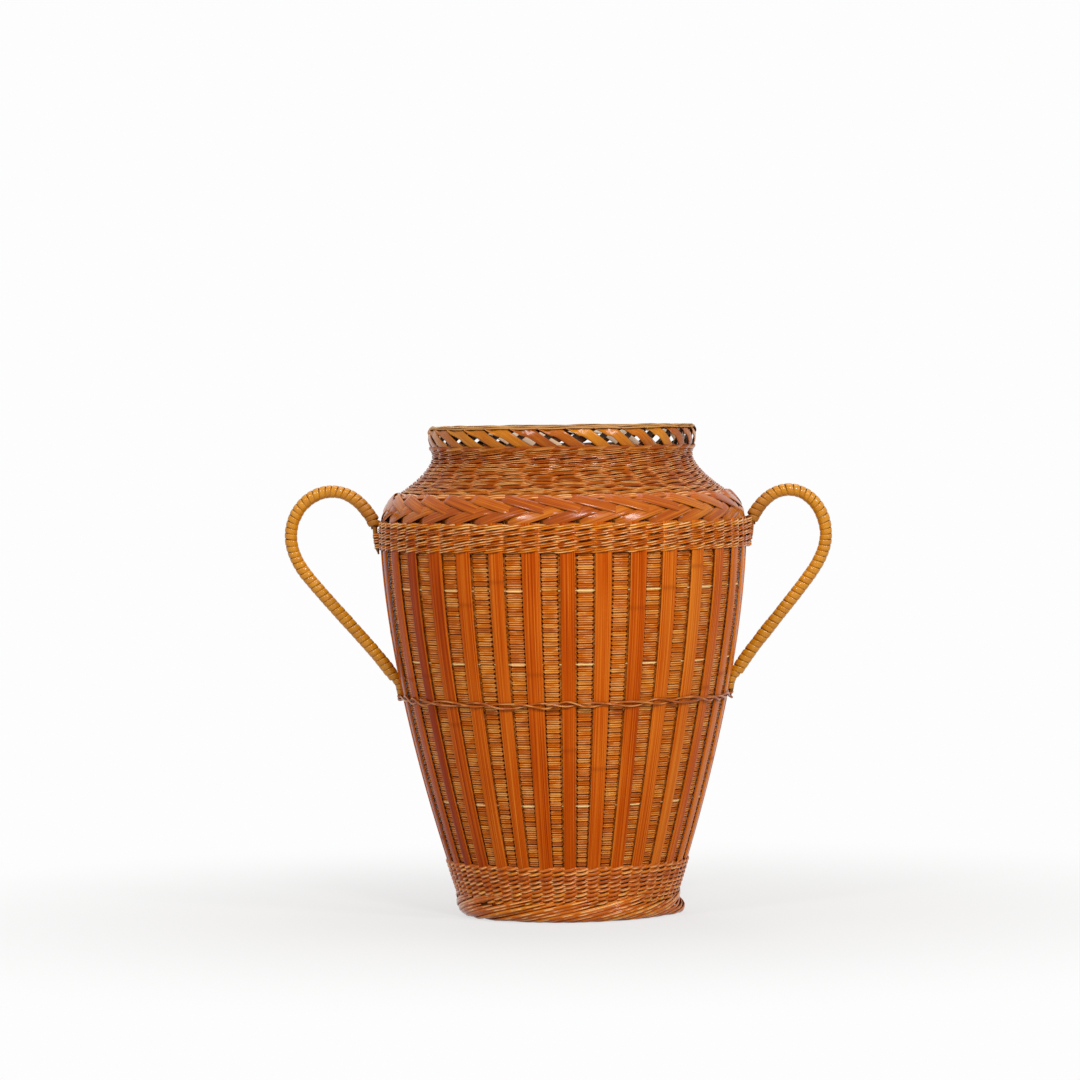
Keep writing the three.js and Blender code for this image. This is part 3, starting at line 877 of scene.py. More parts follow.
@dataclass
class Bands(Part):
    """The two twined bands that hold the slats, at the foot and at the shoulder."""

    wall_low: float = 2.0
    wall_offset: float = 0.85
    upper_rows: int = 5
    upper_first: float = 1.3
    upper_pitch: float = 2.85
    upper_swing: float = 1.05
    upper_sway: float = 0.6
    upper_half: Span = (1.15, 0.52)
    rows_behind_tail: int = 2
    lower_rows: int = 9
    lower_first: float = 1.1
    lower_pitch: float = 2.2
    lower_swing: float = 0.85
    lower_sway: Span = (0.64, 0.56)
    lower_half: Span = (0.84, 0.5)
    lower_stagger: float = 0.05

    def build(self) -> None:
        """Builds both bands.

        The upper one swells over the handles' tails, but its top rows pass behind the left one.
        """
        material = BAND_FINISH.material()
        form = self.form
        wall = form.wall(self.wall_low, form.wall_top(), self.wall_offset)
        row = np.arange(self.upper_rows)
        levels = form.upper_band_bottom + self.upper_first + self.upper_pitch * row
        lean = (levels - form.upper_band_bottom) / (form.upper_band_top - form.upper_band_bottom)
        over_tail = form.tail_thickness - form.tail_sink + form.tail_lean * lean
        covers_left = row < self.upper_rows - self.rows_behind_tail
        upper = TwinedRows(
            form, self.rng, wall, wall.run_at(levels), 2 * form.slat_count, self.upper_swing, self.upper_sway,
            *self.upper_half, swell_left=np.where(covers_left, over_tail + form.tail_sink, 0),
            swell_right=over_tail, section=Section.SPLINT_PAIR)
        add_piece("upper_twining", upper.strands(), material, ["upper_band"])
        levels = form.foot_top + self.lower_first + self.lower_pitch * np.arange(self.lower_rows)
        lower = TwinedRows(
            form, self.rng, wall, wall.run_at(levels), 2 * form.slat_count, self.lower_swing,
            np.linspace(*self.lower_sway, self.lower_rows), *self.lower_half, stagger=self.lower_stagger)
        add_piece("lower_twining", lower.strands(), material, ["lower_band"])


@dataclass
class WaistBinding(Part):
    """Two thin strands that cross in long shallow crosses over the slats."""

    spread: float = 1.15
    half_width: float = 0.6
    half_depth: float = 0.48
    stations: int = 640
    wall_half: float = 20.0
    phase_wander: Span = (0.7, 0.5)
    spread_wander: float = 0.45
    height_wander: float = 0.3
    stand_off: float = 0.65
    crossing: float = 0.5
    dip: float = 0.35
    tone_range: Span = (0.3, 0.6)

    def build(self) -> None:
        """Builds both strands: height = spread cos(n a / 2), one over the other at a cross.

        Sines of the angle make the crosses uneven in place, spread and height.
        """
        form = self.form
        wall = form.wall(
            form.waist - self.wall_half, form.waist + self.wall_half, form.slat_gap + form.slat_thickness)
        angle = hoop_angles(self.stations)
        sign = np.array([[1.0], [-1.0]])
        slow, quick = self.phase_wander
        phase = form.slat_count / 2 * (angle - form.slat_turn)
        phase = phase + slow * np.sin(5 * angle) + quick * np.sin(11 * angle)
        uneven = 1 + self.spread_wander * np.sin(7 * angle + 2 * sign)
        climb = self.spread * sign * np.cos(phase) * uneven + self.height_wander * np.sin(3 * angle)
        over = self.crossing * sign * np.sin(phase)
        dip = -self.dip * np.sin(phase) ** 2
        share = form.tail_share(angle, float(form.slat_face(form.waist)))
        swell = (form.tail_thickness - form.tail_sink) * share
        path, out = wall.place(angle, wall.run_at(form.waist) + climb, self.stand_off + over + dip + swell)
        tones = self.rng.uniform(*self.tone_range, 2)
        surface = sweep(path, out, self.half_width, self.half_depth, Section.ROUND, tones, hoop=True)
        add_piece(
            "waist_binding", surface, NECK_FINISH.material(),
            ["waist_strand_upper", "waist_strand_lower"])


@dataclass
class ShoulderBraid(Part):
    """Herringbone of flat strips that run down and up to the right, each tucked under the next."""

    reach: float = 34.0
    half_width: float = 2.95
    half_depth: float = 0.36
    tilt: float = 0.12
    stations: int = 36
    low_tuck: float = 1.3
    high_tuck: float = 0.3
    foot_inset: float = 0.6
    belly_inset: float = 0.2
    top_inset: float = 7.0
    mean_inset: float = 3.0
    cover: float = 0.6
    down_start: float = 0.93
    up_start: float = 0.05
    up_shift: float = 4.6
    tucked: float = 0.7
    rise: float = 1.6
    rise_end: float = 0.18
    dip: float = 1.9
    dip_start: float = 0.66

    def profile(self) -> Profile:
        """Domed outline under the strips.

        Returns:
            A curve from inside the band's top to the neck's foot.
        """
        foot = self.form.ledge_radius()
        low = self.form.upper_band_top - self.low_tuck
        high = self.form.braid_top + self.high_tuck
        belly = (foot - self.belly_inset, (low + high) / 2)
        points = bezier(((foot - self.foot_inset, low), belly, (foot - self.top_inset, high)), 80)
        return Profile(*points.T)

    def build(self) -> None:
        """Builds the strips.

        A strip rises out of the edge, lies on top and dips under the next one: lift over its share t is
        -tucked + rise ease(t up to the rise's end) - dip ease(t from the dip's start).
        """
        profile = self.profile()
        share = np.linspace(0, 1, self.stations)
        start = self.form.slat_angles()[:, None]
        radius = self.form.shoulder_radius - self.mean_inset
        angle = start + self.reach / radius * share
        lift = -self.tucked + self.rise * ease(share, 0, self.rise_end)
        lift = lift - self.dip * ease(share, self.dip_start, 1)
        total = profile.run[-1]
        down_run = total * (self.down_start - self.cover * share)
        up_run = total * (self.up_start + self.cover * share)
        down, down_out = profile.place(angle, down_run[None], lift)
        up, up_out = profile.place(angle + self.up_shift / radius, up_run[None], lift)
        tones = self.rng.uniform(0, 1, 2 * len(start))
        out = unit(np.concatenate((down_out, up_out)) + self.tilt * UP)
        surface = sweep(
            np.concatenate((down, up)), out, self.half_width, self.half_depth, Section.STRIP, tones)
        add_piece("shoulder_strips", surface, BRAID_FINISH.material(), ["shoulder_braid"])


@dataclass
class Neck(Part):
    """Waisted neck of twined strands on stakes that come up through the shoulder."""

    ledge: float = 9.0
    middle_depth: float = 1.2
    foot_lift: float = 0.3
    waist_radius: float = 60.8
    waist_share: float = 0.65
    top_radius: float = 67.0
    top_lift: float = 0.6
    row_count: int = 12
    first_row: float = 0.9
    last_row: float = 2.4
    half_width: float = 0.98
    half_depth: float = 0.55
    swing: float = 0.8
    sway: float = 0.56
    stagger: float = 0.1
    stations_a_stake: int = 14
    border_drop: float = 0.3
    border_half: float = 1.15
    border_half_depth: float = 0.7
    border_sway: float = 0.7
    foot_outline: tuple[Span, ...] = ((4.2, -2.2), (2.6, -1.0), (0.8, -0.2))
    foot_rows: Span = (0.6, 2.3)
    foot_half: float = 1.18
    stake_insets: tuple[float, float, float] = (1.0, 2.4, 4.0)
    stake_start: float = 6.0
    stake_bend: float = 3.0
    stake_under_braid: float = 5.0
    stake_halves: Span = (3.4, 2.2)
    stake_half_depth: float = 0.35
    stake_tones: Span = (0.2, 0.8)
    stake_stations: int = 50

    def profile(self) -> Profile:
        """Waisted outline of the neck's middle layer.

        Returns:
            A curve from the braid's top, in to the waist and out to the rim.
        """
        form = self.form
        foot = form.ledge_radius() - self.ledge - self.middle_depth
        low = form.braid_top + self.foot_lift
        waist = (self.waist_radius, low + self.waist_share * (form.neck_top - form.braid_top))
        points = bezier(((foot, low), waist, (self.top_radius, form.neck_top + self.top_lift)), 120)
        return Profile(*points.T)

    def build(self) -> None:
        """Builds the twined rows, two behind the braid's top, a stouter one under the rim, and the stakes."""
        form = self.form
        neck = self.profile()
        out_by, up_by = np.array(self.foot_outline).T
        foot = Profile(neck.radius[0] + out_by, neck.height[0] + up_by)
        places = np.linspace(self.first_row, neck.run[-1] - self.last_row, self.row_count)
        under_rim = neck.run[-1:] - self.border_drop
        strand = (self.sway, self.half_width, self.half_depth)
        foot_strand = (self.sway, self.foot_half, self.half_depth)
        border_strand = (self.border_sway, self.border_half, self.border_half_depth)
        for name, profile, rows, sizes, stagger, section in (
            ("neck_twining", neck, places, strand, self.stagger, Section.SPLINT_PAIR),
            ("neck_foot_rows", foot, np.array(self.foot_rows), foot_strand, 0.0, Section.ROUND),
            ("neck_border_row", neck, under_rim, border_strand, 0.0, Section.ROUND),
        ):
            twined = TwinedRows(
                form, self.rng, profile, rows, form.slat_count, self.swing, *sizes, stagger=stagger,
                stations_a_stake=self.stations_a_stake, section=section)
            add_piece(name, twined.strands(), NECK_FINISH.material(), ["neck_weave"])
        add_piece("neck_stakes", self.stakes(neck), STAKE_FINISH.material(), ["neck_weave"])

    def stakes(self, neck: Profile) -> Surface:
        """Flat stakes from behind the braid to the rim, narrower towards the rim.

        Args:
            neck: Outline of the neck.

        Returns:
            The stakes.
        """
        form = self.form
        radius = np.concatenate((form.ledge_radius() - np.array(self.stake_insets), neck.radius))
        behind_braid = (
            form.upper_band_top - self.stake_start, form.upper_band_top + self.stake_bend,
            form.braid_top - self.stake_under_braid)
        line = Profile(radius, np.concatenate((behind_braid, neck.height)))
        run = np.linspace(0, line.run[-1], self.stake_stations)
        path, out = line.place(form.slat_angles()[:, None], run[None])
        half = np.interp(run, (0, run[-1]), self.stake_halves)
        tones = self.rng.uniform(*self.stake_tones, form.slat_count)
        return sweep(path, out, half, self.stake_half_depth, Section.SPLINT, tones)


@dataclass
class Rim(Part):
    """Border of flat straps that lean left outside, roll over the top and lean right inside."""

    outer_radius: float = 67.4
    inner_radius: float = 65.3
    foot_drop: float = 1.6
    foot_inset: float = 2.8
    bulge: float = 1.5
    bulge_lift: float = 2.0
    inside_insets: Span = (0.5, 0.2)
    half_width: float = 2.5
    half_depth: float = 0.36
    stations: int = 90
    start_share: float = 0.9
    slant: float = 1.45
    slant_change: float = 0.4
    fold_share: float = 0.85
    fold_half: float = 3.0
    strap_wave: float = 0.3
    inside_taper: float = 0.4
    taper_span: Span = (0.5, 3.0)
    bare_share: float = 0.85
    bare_span: Span = (0.3, 1.5)
    bare_fade: float = 0.4
    bare_fade_span: Span = (2.5, 6.0)
    edging_places: tuple[tuple[float, float, float], ...] = (
        (1.5, 0.6, 0.4), (0.7, -0.1, 1.1), (-0.4, -0.15, 1.8), (-1.35, 0.5, 2.7))
    edging_half: float = 0.5
    edging_rise: float = 0.9
    edging_wander: Span = (0.16, 0.1)
    edging_tones: Span = (0.2, 0.9)
    edging_stations: int = 256
    splint_half_depth: float = 0.3
    end_drop: float = 2.0
    end_rise: float = 2.4
    end_inset: float = 1.6
    end_turn: float = 0.09
    end_lean: float = 0.03
    end_halves: tuple[float, float, float] = (1.3, 0.9, 0.15)
    end_taper: tuple[float, float, float] = (0.0, 0.55, 1.0)
    end_stations: int = 8

    def middle_radius(self) -> float:
        """Radius midway between the outer and the inner straps."""
        return (self.outer_radius + self.inner_radius) / 2

    def profile(self) -> Profile:
        """Outline of a strap from behind the neck's top row.

        Returns:
            A curve up the bulging outside, half a circle over the top and a curve down the inside.
        """
        low = self.form.neck_top - self.foot_drop
        fold = (self.outer_radius - self.inner_radius) / 2
        top = self.form.rim_top - fold - self.half_depth - self.edging_rise
        belly = (self.outer_radius + self.bulge, (low + top) / 2 + self.bulge_lift)
        outside = bezier((
            (self.outer_radius - self.foot_inset, low), (self.outer_radius, low + self.foot_drop), belly,
            (self.outer_radius, top)), 50)
        turn = np.linspace(0, math.pi, 24)[1:-1]
        over = np.stack((self.outer_radius - fold + fold * np.cos(turn), top + fold * np.sin(turn)), axis=-1)
        middle_inset, low_inset = self.inside_insets
        inside = bezier((
            (self.inner_radius, top), (self.inner_radius - middle_inset, (low + top) / 2),
            (self.inner_radius - low_inset, low)), 50)
        return Profile(*np.concatenate((outside, over, inside)).T)

    def build(self) -> None:
        """Builds the straps, the bare ends in the gaps and the edging.

        A strap lies along the top edge for the width of a gap: angle = start - slant run / radius -
        (share of the pitch) ease(run over the fold). The slant changes round the rim.
        """
        profile = self.profile()
        run = np.linspace(0, profile.run[-1], self.stations)
        pitch = self.form.slat_pitch()
        past_fold = run - profile.run[profile.height.argmax()]
        start = self.form.slat_angles()[:, None] + self.start_share * pitch
        slant = self.slant - self.slant_change * np.sin(start)
        along = self.fold_share * pitch * ease(past_fold, -self.fold_half, self.fold_half)
        angle = start - slant * run / self.outer_radius - along
        path, out = profile.place(angle, run[None], self.strap_wave * np.sin(FULL_TURN * run / run[-1]))
        tones = self.rng.uniform(0, 1, len(start))
        fade = 1 - self.bare_fade * ease(past_fold, *self.bare_fade_span)
        bare_and_highlight = self.bare_share * ease(past_fold, *self.bare_span) * fade
        half = self.half_width * (1 - self.inside_taper * ease(past_fold, *self.taper_span))
        surface = sweep(path, out, half, self.half_depth, Section.STRIP, tones, mark=bare_and_highlight)
        nodes = ["rim_straps_outer", "rim_straps_inner"]
        add_piece("rim_folds", surface, RIM_FINISH.material(), nodes)
        add_piece("rim_ends", self.ends(), STRAW_FINISH.material(), nodes[:1])
        add_piece("rim_edging", self.edging(), STRAW_FINISH.material(), nodes[:1])

    def edging(self) -> Surface:
        """Thin splints along the top edge, which hide the folds.

        Height and radius wander as sines of the angle.

        Returns:
            The splints.
        """
        angle = hoop_angles(self.edging_stations)
        number = np.arange(len(self.edging_places))[:, None]
        slow, quick = self.edging_wander
        wander = slow * np.sin((9 + 2 * number) * angle + number) + quick * np.sin(23 * angle + 2 * number)
        out_by, under_top, lean = np.array(self.edging_places).T[..., None]
        radius = self.middle_radius() + out_by - wander / 2
        path = polar(radius, angle, self.form.rim_top - under_top + wander)
        out = unit(polar(np.cos(lean), angle, np.sin(lean)))
        tones = self.rng.uniform(*self.edging_tones, len(number))
        return sweep(
            path, out, self.edging_half, self.splint_half_depth, Section.SPLINT, tones, hoop=True)

    def ends(self) -> Surface:
        """Bare ends of the stakes, which show at the foot of each gap, cut to a point.

        Returns:
            The ends.
        """
        form = self.form
        share = np.linspace(0, 1, self.end_stations)
        height = np.linspace(form.neck_top - self.end_drop, form.neck_top + self.end_rise, self.end_stations)
        middle = self.middle_radius()
        line = Profile(np.linspace(middle - self.end_inset, middle, self.end_stations), height)
        turn = np.linspace(0, self.end_lean, self.end_stations)
        angle = form.slat_angles()[:, None] + self.end_turn + turn
        path, out = line.place(angle, line.run[None])
        half = np.interp(share, self.end_taper, self.end_halves)
        tones = self.rng.uniform(0, 1, form.slat_count)
        return sweep(path, out, half, self.splint_half_depth, Section.SPLINT, tones)


@dataclass
class FootBorder(Part):
    """Rolled border of strands that come out under the foot and rise to the right into the lower band."""

    head_radius: float = 57.4
    toe_radius: float = 51.0
    head_rise: float = 6.0
    heel_inset: float = 0.6
    belly_inset: float = 1.2
    belly: float = 0.6
    belly_share: float = 0.4
    toe_lift: float = 0.1
    floor_lift: float = 0.25
    strand_count: int = 46
    start_spread: float = 0.014
    reach: float = 1.4
    half_width: float = 0.95
    half_depth: float = 0.6
    shortest: float = 0.6
    lift_spread: float = 0.2
    tip_start: float = 0.8
    tip_share: float = 0.35
    tone_range: Span = (0.3, 0.8)
    stations: int = 56
    bulge: float = 3.8
    bulge_height: float = 7.5
    bulge_spread: float = 0.22
    bulge_start: float = 0.2
    core_radius: float = 53.2
    core_half: float = 1.8
    core_lift: float = 1.7
    core_clearance: float = 1.6
    core_tone: float = 0.3
    core_stations: int = 128

    def outline(self) -> Profile:
        """Outline that the strands follow.

        Returns:
            A curve that rounds out from under the foot and rises into the lower band.
        """
        head = self.form.foot_top + self.head_rise
        toe = self.half_depth + self.toe_lift
        belly = self.head_radius - self.belly_inset + self.belly
        return Profile(*bezier((
            (self.toe_radius, toe), (self.head_radius - self.heel_inset, toe),
            (belly, self.belly_share * head), (self.head_radius, head)), 90).T)

    def build(self) -> None:
        """Builds the strands and the core behind them.

        A strand's angle grows by its reach as it runs along the outline. Strands differ in length, so they
        end at different heights between the band's rows. At the right, where the border was closed, the
        outline bulges by exp((cos a - 1) / spread^2), a bell curve of the angle.
        """
        outline = self.outline()
        start = FULL_TURN * np.arange(self.strand_count)[:, None] / self.strand_count
        start = start + self.rng.normal(0, self.start_spread, start.shape)
        along = np.linspace(0, 1, self.stations)
        share = along * self.rng.uniform(self.shortest, 1, start.shape)
        angle = start + self.reach * share
        closing = np.exp((np.cos(angle - QUARTER_TURN) - 1) / self.bulge_spread ** 2)
        run = outline.run[-1] * share
        height = np.interp(run, outline.run, outline.height)
        low = 1 - ease(height, self.bulge_height / 2, self.bulge_height)
        lift = self.bulge * closing * low * ease(share, 0, self.bulge_start)
        lift = lift + self.rng.normal(0, self.lift_spread, start.shape)
        path, out = outline.place(angle, run, lift)
        path[..., 2] = np.maximum(path[..., 2], self.half_depth + self.floor_lift)
        tones = self.rng.uniform(*self.tone_range, self.strand_count)
        tip = np.interp(along, (self.tip_start, 1), (1, self.tip_share))
        surface = sweep(path, out, self.half_width * tip, self.half_depth * tip, Section.ROUND, tones)
        add_piece("foot_roll", surface, BAND_FINISH.material(), ["foot_border"])
        add_piece("foot_core", self.core(), BASE_FINISH.material(), ["foot_border"])

    def core(self) -> Surface:
        """The upright hoop behind the strands.

        Returns:
            A hoop from just over the table to inside the lower band.
        """
        middle = self.form.foot_top / 2 + self.core_lift
        angle = hoop_angles(self.core_stations)
        return sweep(
            polar(self.core_radius, angle, middle)[None], polar(1.0, angle, 0.0)[None],
            middle - self.core_clearance, self.core_half, Section.CANE, np.array([self.core_tone]), hoop=True)


@dataclass
class BaseMat(Part):
    """Round base of splints woven over and under spokes."""

    radius: float = 52.0
    first_ring: float = 7.0
    edge_gap: float = 0.5
    pitch: float = 1.75
    middle: float = 2.3
    swing: float = 0.62
    half_width: float = 0.8
    half_depth: float = 0.3
    ring_stations: int = 160
    spoke_start: float = 1.5
    spoke_overrun: float = 0.6
    spoke_flare: float = 0.08
    spoke_halves: Span = (0.16, 1.5)
    spoke_stations: int = 30

    def build(self) -> None:
        """Builds the rings, z = middle + swing side cos(n a / 2), and the spokes, wider with their radius."""
        material = BASE_FINISH.material()
        rings = np.arange(self.first_ring, self.radius - self.edge_gap, self.pitch)
        angle = hoop_angles(self.ring_stations)
        side = alternating(len(rings))[:, None]
        wave = side * np.cos(self.form.slat_count / 2 * (angle - self.form.slat_turn))
        path = polar(rings[:, None], angle, self.middle + self.swing * wave)
        tones = self.rng.uniform(0, 1, len(rings))
        surface = sweep(
            path, np.broadcast_to(UP, path.shape), self.half_width, self.half_depth, Section.SPLINT, tones,
            hoop=True)
        add_piece("woven_base", surface, material, ["base_mat"])
        reach = np.linspace(self.spoke_start, self.radius + self.spoke_overrun, self.spoke_stations)
        path = polar(reach, self.form.slat_angles()[:, None], self.middle)
        half = np.clip(self.spoke_flare * reach, *self.spoke_halves)
        tones = self.rng.uniform(0, 1, self.form.slat_count)
        surface = sweep(
            path, np.broadcast_to(UP, path.shape), half, self.half_depth, Section.SPLINT, tones)
        add_piece("base_spokes", surface, material, ["base_mat"])


@dataclass
class Handle(Part):
    """One handle: a cane that leaves the upper band, loops out and is tucked under the waist binding.

    It is wound with a flat strip of cane from the band to the waist.
    """

    side: Side
    reach: float
    sag: float
    tail_drop: float
    rise: float = 16.0
    reach_drop: float = 7.0
    elbow_drop: float = 20.5
    elbow_inset: float = 8.4
    elbow_bend: float = 7.4
    seat_bend: float = 9.5
    crest_share: float = 0.54
    arm_share: float = 0.37
    quarter_arm: float = 0.5523
    exit_lead: Span = (0.2, 0.34)
    tail_rises: Span = (4.0, 9.0)
    tail_leans: Span = (0.6, 0.8)
    line_stations: int = 900
    core_step: int = 5
    core_radius: float = 2.2
    core_tone: float = 0.45
    tail_show: float = 4.0
    tail_extra: float = 0.25
    tail_end_run: float = 5.0
    tail_end_share: float = 0.4
    tail_tip_run: float = 4.0
    tail_tip_share: float = 0.35
    rounding: Span = (-3.0, 1.0)
    strand: float = 1.6
    clearance: float = 0.3
    wrap_room: float = 0.8
    wrap_pitch: float = 3.1
    wrap_uneven: float = 0.09
    wrap_most: int = 120
    wrap_share: float = 0.49
    wrap_half_depth: float = 0.42
    wrap_seat: float = 0.62
    wrap_seat_spread: float = 0.05
    wrap_gap: float = 0.05
    wrap_start: float = -2.2
    wrap_past_seat: float = 5.0
    wrap_squeeze: float = 0.7
    squeeze_runs: Span = (1.5, 2.0)
    wrap_tone: float = 0.5
    loose_lift: float = 0.3
    loose_mark: float = 0.6
    loose_span: Span = (6.0, 26.0)
    turn_stations: int = 22

    def build(self) -> None:
        """Builds the cane and its winding."""
        name = self.side.name.lower()
        self.trace()
        for piece, surface, finish, node in (
            ("handle_cane", self.core(), TAIL_FINISH, "handle_core"),
            ("handle_winding", self.winding(), CANE_FINISH, "handle_wrap"),
        ):
            add_piece(f"{piece}_{name}", surface, finish.material(), [f"{node}_{name}"])

    def on_slat(self, height: float, lean: float = 0.0) -> Array:
        """Point of the centre line where a tail lies on the slats at a height, or leans off them."""
        off = self.clearance + self.form.tail_thickness / 2
        return np.array((float(self.form.slat_face(height)) + off + lean, height))

    def lengths(self) -> list[Array]:
        """Draws the centre line on the right side, as distances from the axis and heights.

        Returns:
            Its six lengths: the tail under the band's lower rows, the rise to the crest, the fall to the
            furthest point, the elbow, the arm, and the seat under the waist binding.
        """
        form = self.form
        lower_rows, upper_rows = (
            self.on_slat(form.upper_band_bottom + rise, lean * form.tail_lean)
            for rise, lean in zip(self.tail_rises, self.tail_leans))
        tail_tip = self.on_slat(form.upper_band_bottom - self.tail_drop)
        band_exit = self.on_slat(form.upper_band_top, form.tail_lean)
        face = float(form.slat_face(form.upper_band_top))
        crest = np.array((face + self.crest_share * self.reach, form.upper_band_top + self.rise - self.sag))
        furthest = np.array((face + self.reach, form.upper_band_top - self.reach_drop - self.sag))
        elbow = furthest - (self.elbow_inset, self.elbow_drop)
        seat = self.on_slat(form.waist + self.strand + self.tail_show)
        tail_end = self.on_slat(form.waist - self.strand - self.tail_show / 4)
        arm_way, seat_way = unit(np.stack((elbow - seat, seat - tail_end)))
        arm = self.arm_share * float(np.linalg.norm(elbow - seat))
        quarter = self.quarter_arm
        return [
            bezier((tail_tip, lower_rows, upper_rows, band_exit), 60),
            bezier((
                band_exit, band_exit + (crest[1] - band_exit[1]) * np.array(self.exit_lead),
                crest - (quarter * (crest[0] - band_exit[0]), 0), crest), 120),
            bezier((
                crest, crest + (quarter * (furthest[0] - crest[0]), 0),
                furthest + (0, quarter * (crest[1] - furthest[1])), furthest), 120),
            bezier((furthest, furthest - (0, self.elbow_bend), elbow + arm_way * self.elbow_bend, elbow), 80),
            bezier((elbow, elbow - arm_way * arm, seat + seat_way * self.seat_bend, seat), 160),
            bezier((seat, tail_end), 30),
        ]

    def trace(self) -> None:
        """Traces the centre line evenly by run, with its normals, its room over the slats and its thickness.

        The cane is round in the loop. It eases to a flat tail in the band and down to the seat.
        """
        form = self.form
        lengths = self.lengths()
        points = np.concatenate([lengths[0]] + [part[1:] for part in lengths[1:]])
        ends = np.cumsum([np.linalg.norm(np.diff(part, axis=0), axis=1).sum() for part in lengths])
        run = run_along(points)
        self.run = np.linspace(0, run[-1], self.line_stations)
        x, z = (np.interp(self.run, run, points[:, i]) for i in range(2))
        way = unit(np.stack((np.gradient(x), np.gradient(z)), axis=-1))
        flat = np.zeros_like(x)
        self.line = np.stack((x, flat, z), axis=-1)
        self.normal = np.stack((way[:, 1], flat, -way[:, 0]), axis=-1)
        slope = form.slat_face(z + 1) - form.slat_face(z)
        self.stand_off = (x - form.slat_face(z)) / np.hypot(1, slope)
        self.exit_run, self.seat_run = float(ends[0]), float(ends[-2])
        room = self.core_radius + self.wrap_room + 3 * self.clearance
        clear = (self.run > self.exit_run) & (self.run < self.seat_run) & (self.stand_off > room)
        taper_run = float(self.run[clear][-1])
        before, after = self.rounding
        leaving = ease(self.run, self.exit_run + before, self.exit_run + after)
        roundness = leaving * (1 - ease(self.run, taper_run, self.seat_run))
        end = 1 - (1 - self.tail_end_share) * ease(self.run, run[-1] - self.tail_end_run, run[-1])
        tip = self.tail_tip_share + (1 - self.tail_tip_share) * ease(self.run, 0, self.tail_tip_run)
        tail_half = form.tail_thickness / 2 + self.tail_extra
        self.thick = tail_half * (end * tip) + roundness * (self.core_radius - tail_half)
        self.wide = form.tail_width / 2 + roundness * (self.core_radius - form.tail_width / 2)

    def mirrored(self, points: Array) -> Array:
        """Points or directions on the handle's own side."""
        return points * (self.side.value, 1, 1)

    def core(self) -> Surface:
        """The cane: round in the loop, flattened where its tails are tucked in.

        Returns:
            The cane.
        """
        pick = slice(None, None, self.core_step)
        return sweep(
            self.mirrored(self.line[pick])[None], self.mirrored(self.normal[pick])[None], self.wide[pick],
            self.thick[pick], Section.CANE, np.array([self.core_tone]))

    def winding(self) -> Surface:
        """One strip in a helix: line + (thick + lift) cos t normal + (wide + lift) sin t sideways.

        Turns differ a little in width and lie looser and browner near the band. Where the cane comes down on
        the slats, the helix is pushed out, so that its back stays clear of them.

        Returns:
            The winding.
        """
        last = self.seat_run + self.wrap_past_seat
        first = self.exit_run + self.wrap_start
        pitches = self.wrap_pitch * self.rng.normal(1, self.wrap_uneven, self.wrap_most)
        marks = first + np.concatenate(([0.0], np.cumsum(pitches)))
        turns = int(np.searchsorted(marks, last)) - 1
        stations = np.linspace(0, turns, turns * self.turn_stations)
        run = np.interp(stations, np.arange(len(marks)), marks)
        turn = FULL_TURN * stations
        line, normal = (
            np.stack([np.interp(run, self.run, column) for column in rows.T], axis=-1)
            for rows in (self.line, self.normal))
        sideways = np.array((0.0, 1.0, 0.0))
        loose_start, loose_end = self.loose_span
        loose = 1 - ease(run, first + loose_start, first + loose_end)
        seat_spread = self.rng.normal(0, self.wrap_seat_spread, len(marks))
        uneven = np.interp(stations, np.arange(len(marks)), seat_spread)
        grip, release = self.squeeze_runs
        squeezed = ease(run, first, first + grip)
        squeezed = squeezed * (1 - self.wrap_squeeze * ease(run, self.seat_run - release, last))
        lift = self.wrap_seat * squeezed + uneven + self.loose_lift * loose * (0.5 + 0.5 * np.cos(turn))
        thick = np.interp(run, self.run, self.thick) + lift
        wide = np.interp(run, self.run, self.wide) + lift
        stand_off = np.interp(run, self.run, self.stand_off)
        push = np.clip(thick + self.wrap_half_depth + self.wrap_gap - stand_off, 0, None)
        cosine, sine = np.cos(turn)[:, None], np.sin(turn)[:, None]
        path = line + (push[:, None] + thick[:, None] * cosine) * normal + wide[:, None] * sine * sideways
        out = unit(cosine / thick[:, None] * normal + sine / wide[:, None] * sideways)
        half = self.wrap_share * np.interp(stations, np.arange(len(pitches)) + 0.5, pitches)
        return sweep(
            self.mirrored(path)[None], self.mirrored(out)[None], half, self.wrap_half_depth, Section.STRIP,
            np.array([self.wrap_tone]), mark=self.loose_mark * loose)


@dataclass(frozen=True)
class Softbox:
    """A square lamp: where it stands and its side, in metres, its power in watts, and if gloss shows it."""

    name: str
    place: tuple[float, float, float]
    side: float
    power: float
    in_gloss: bool = True


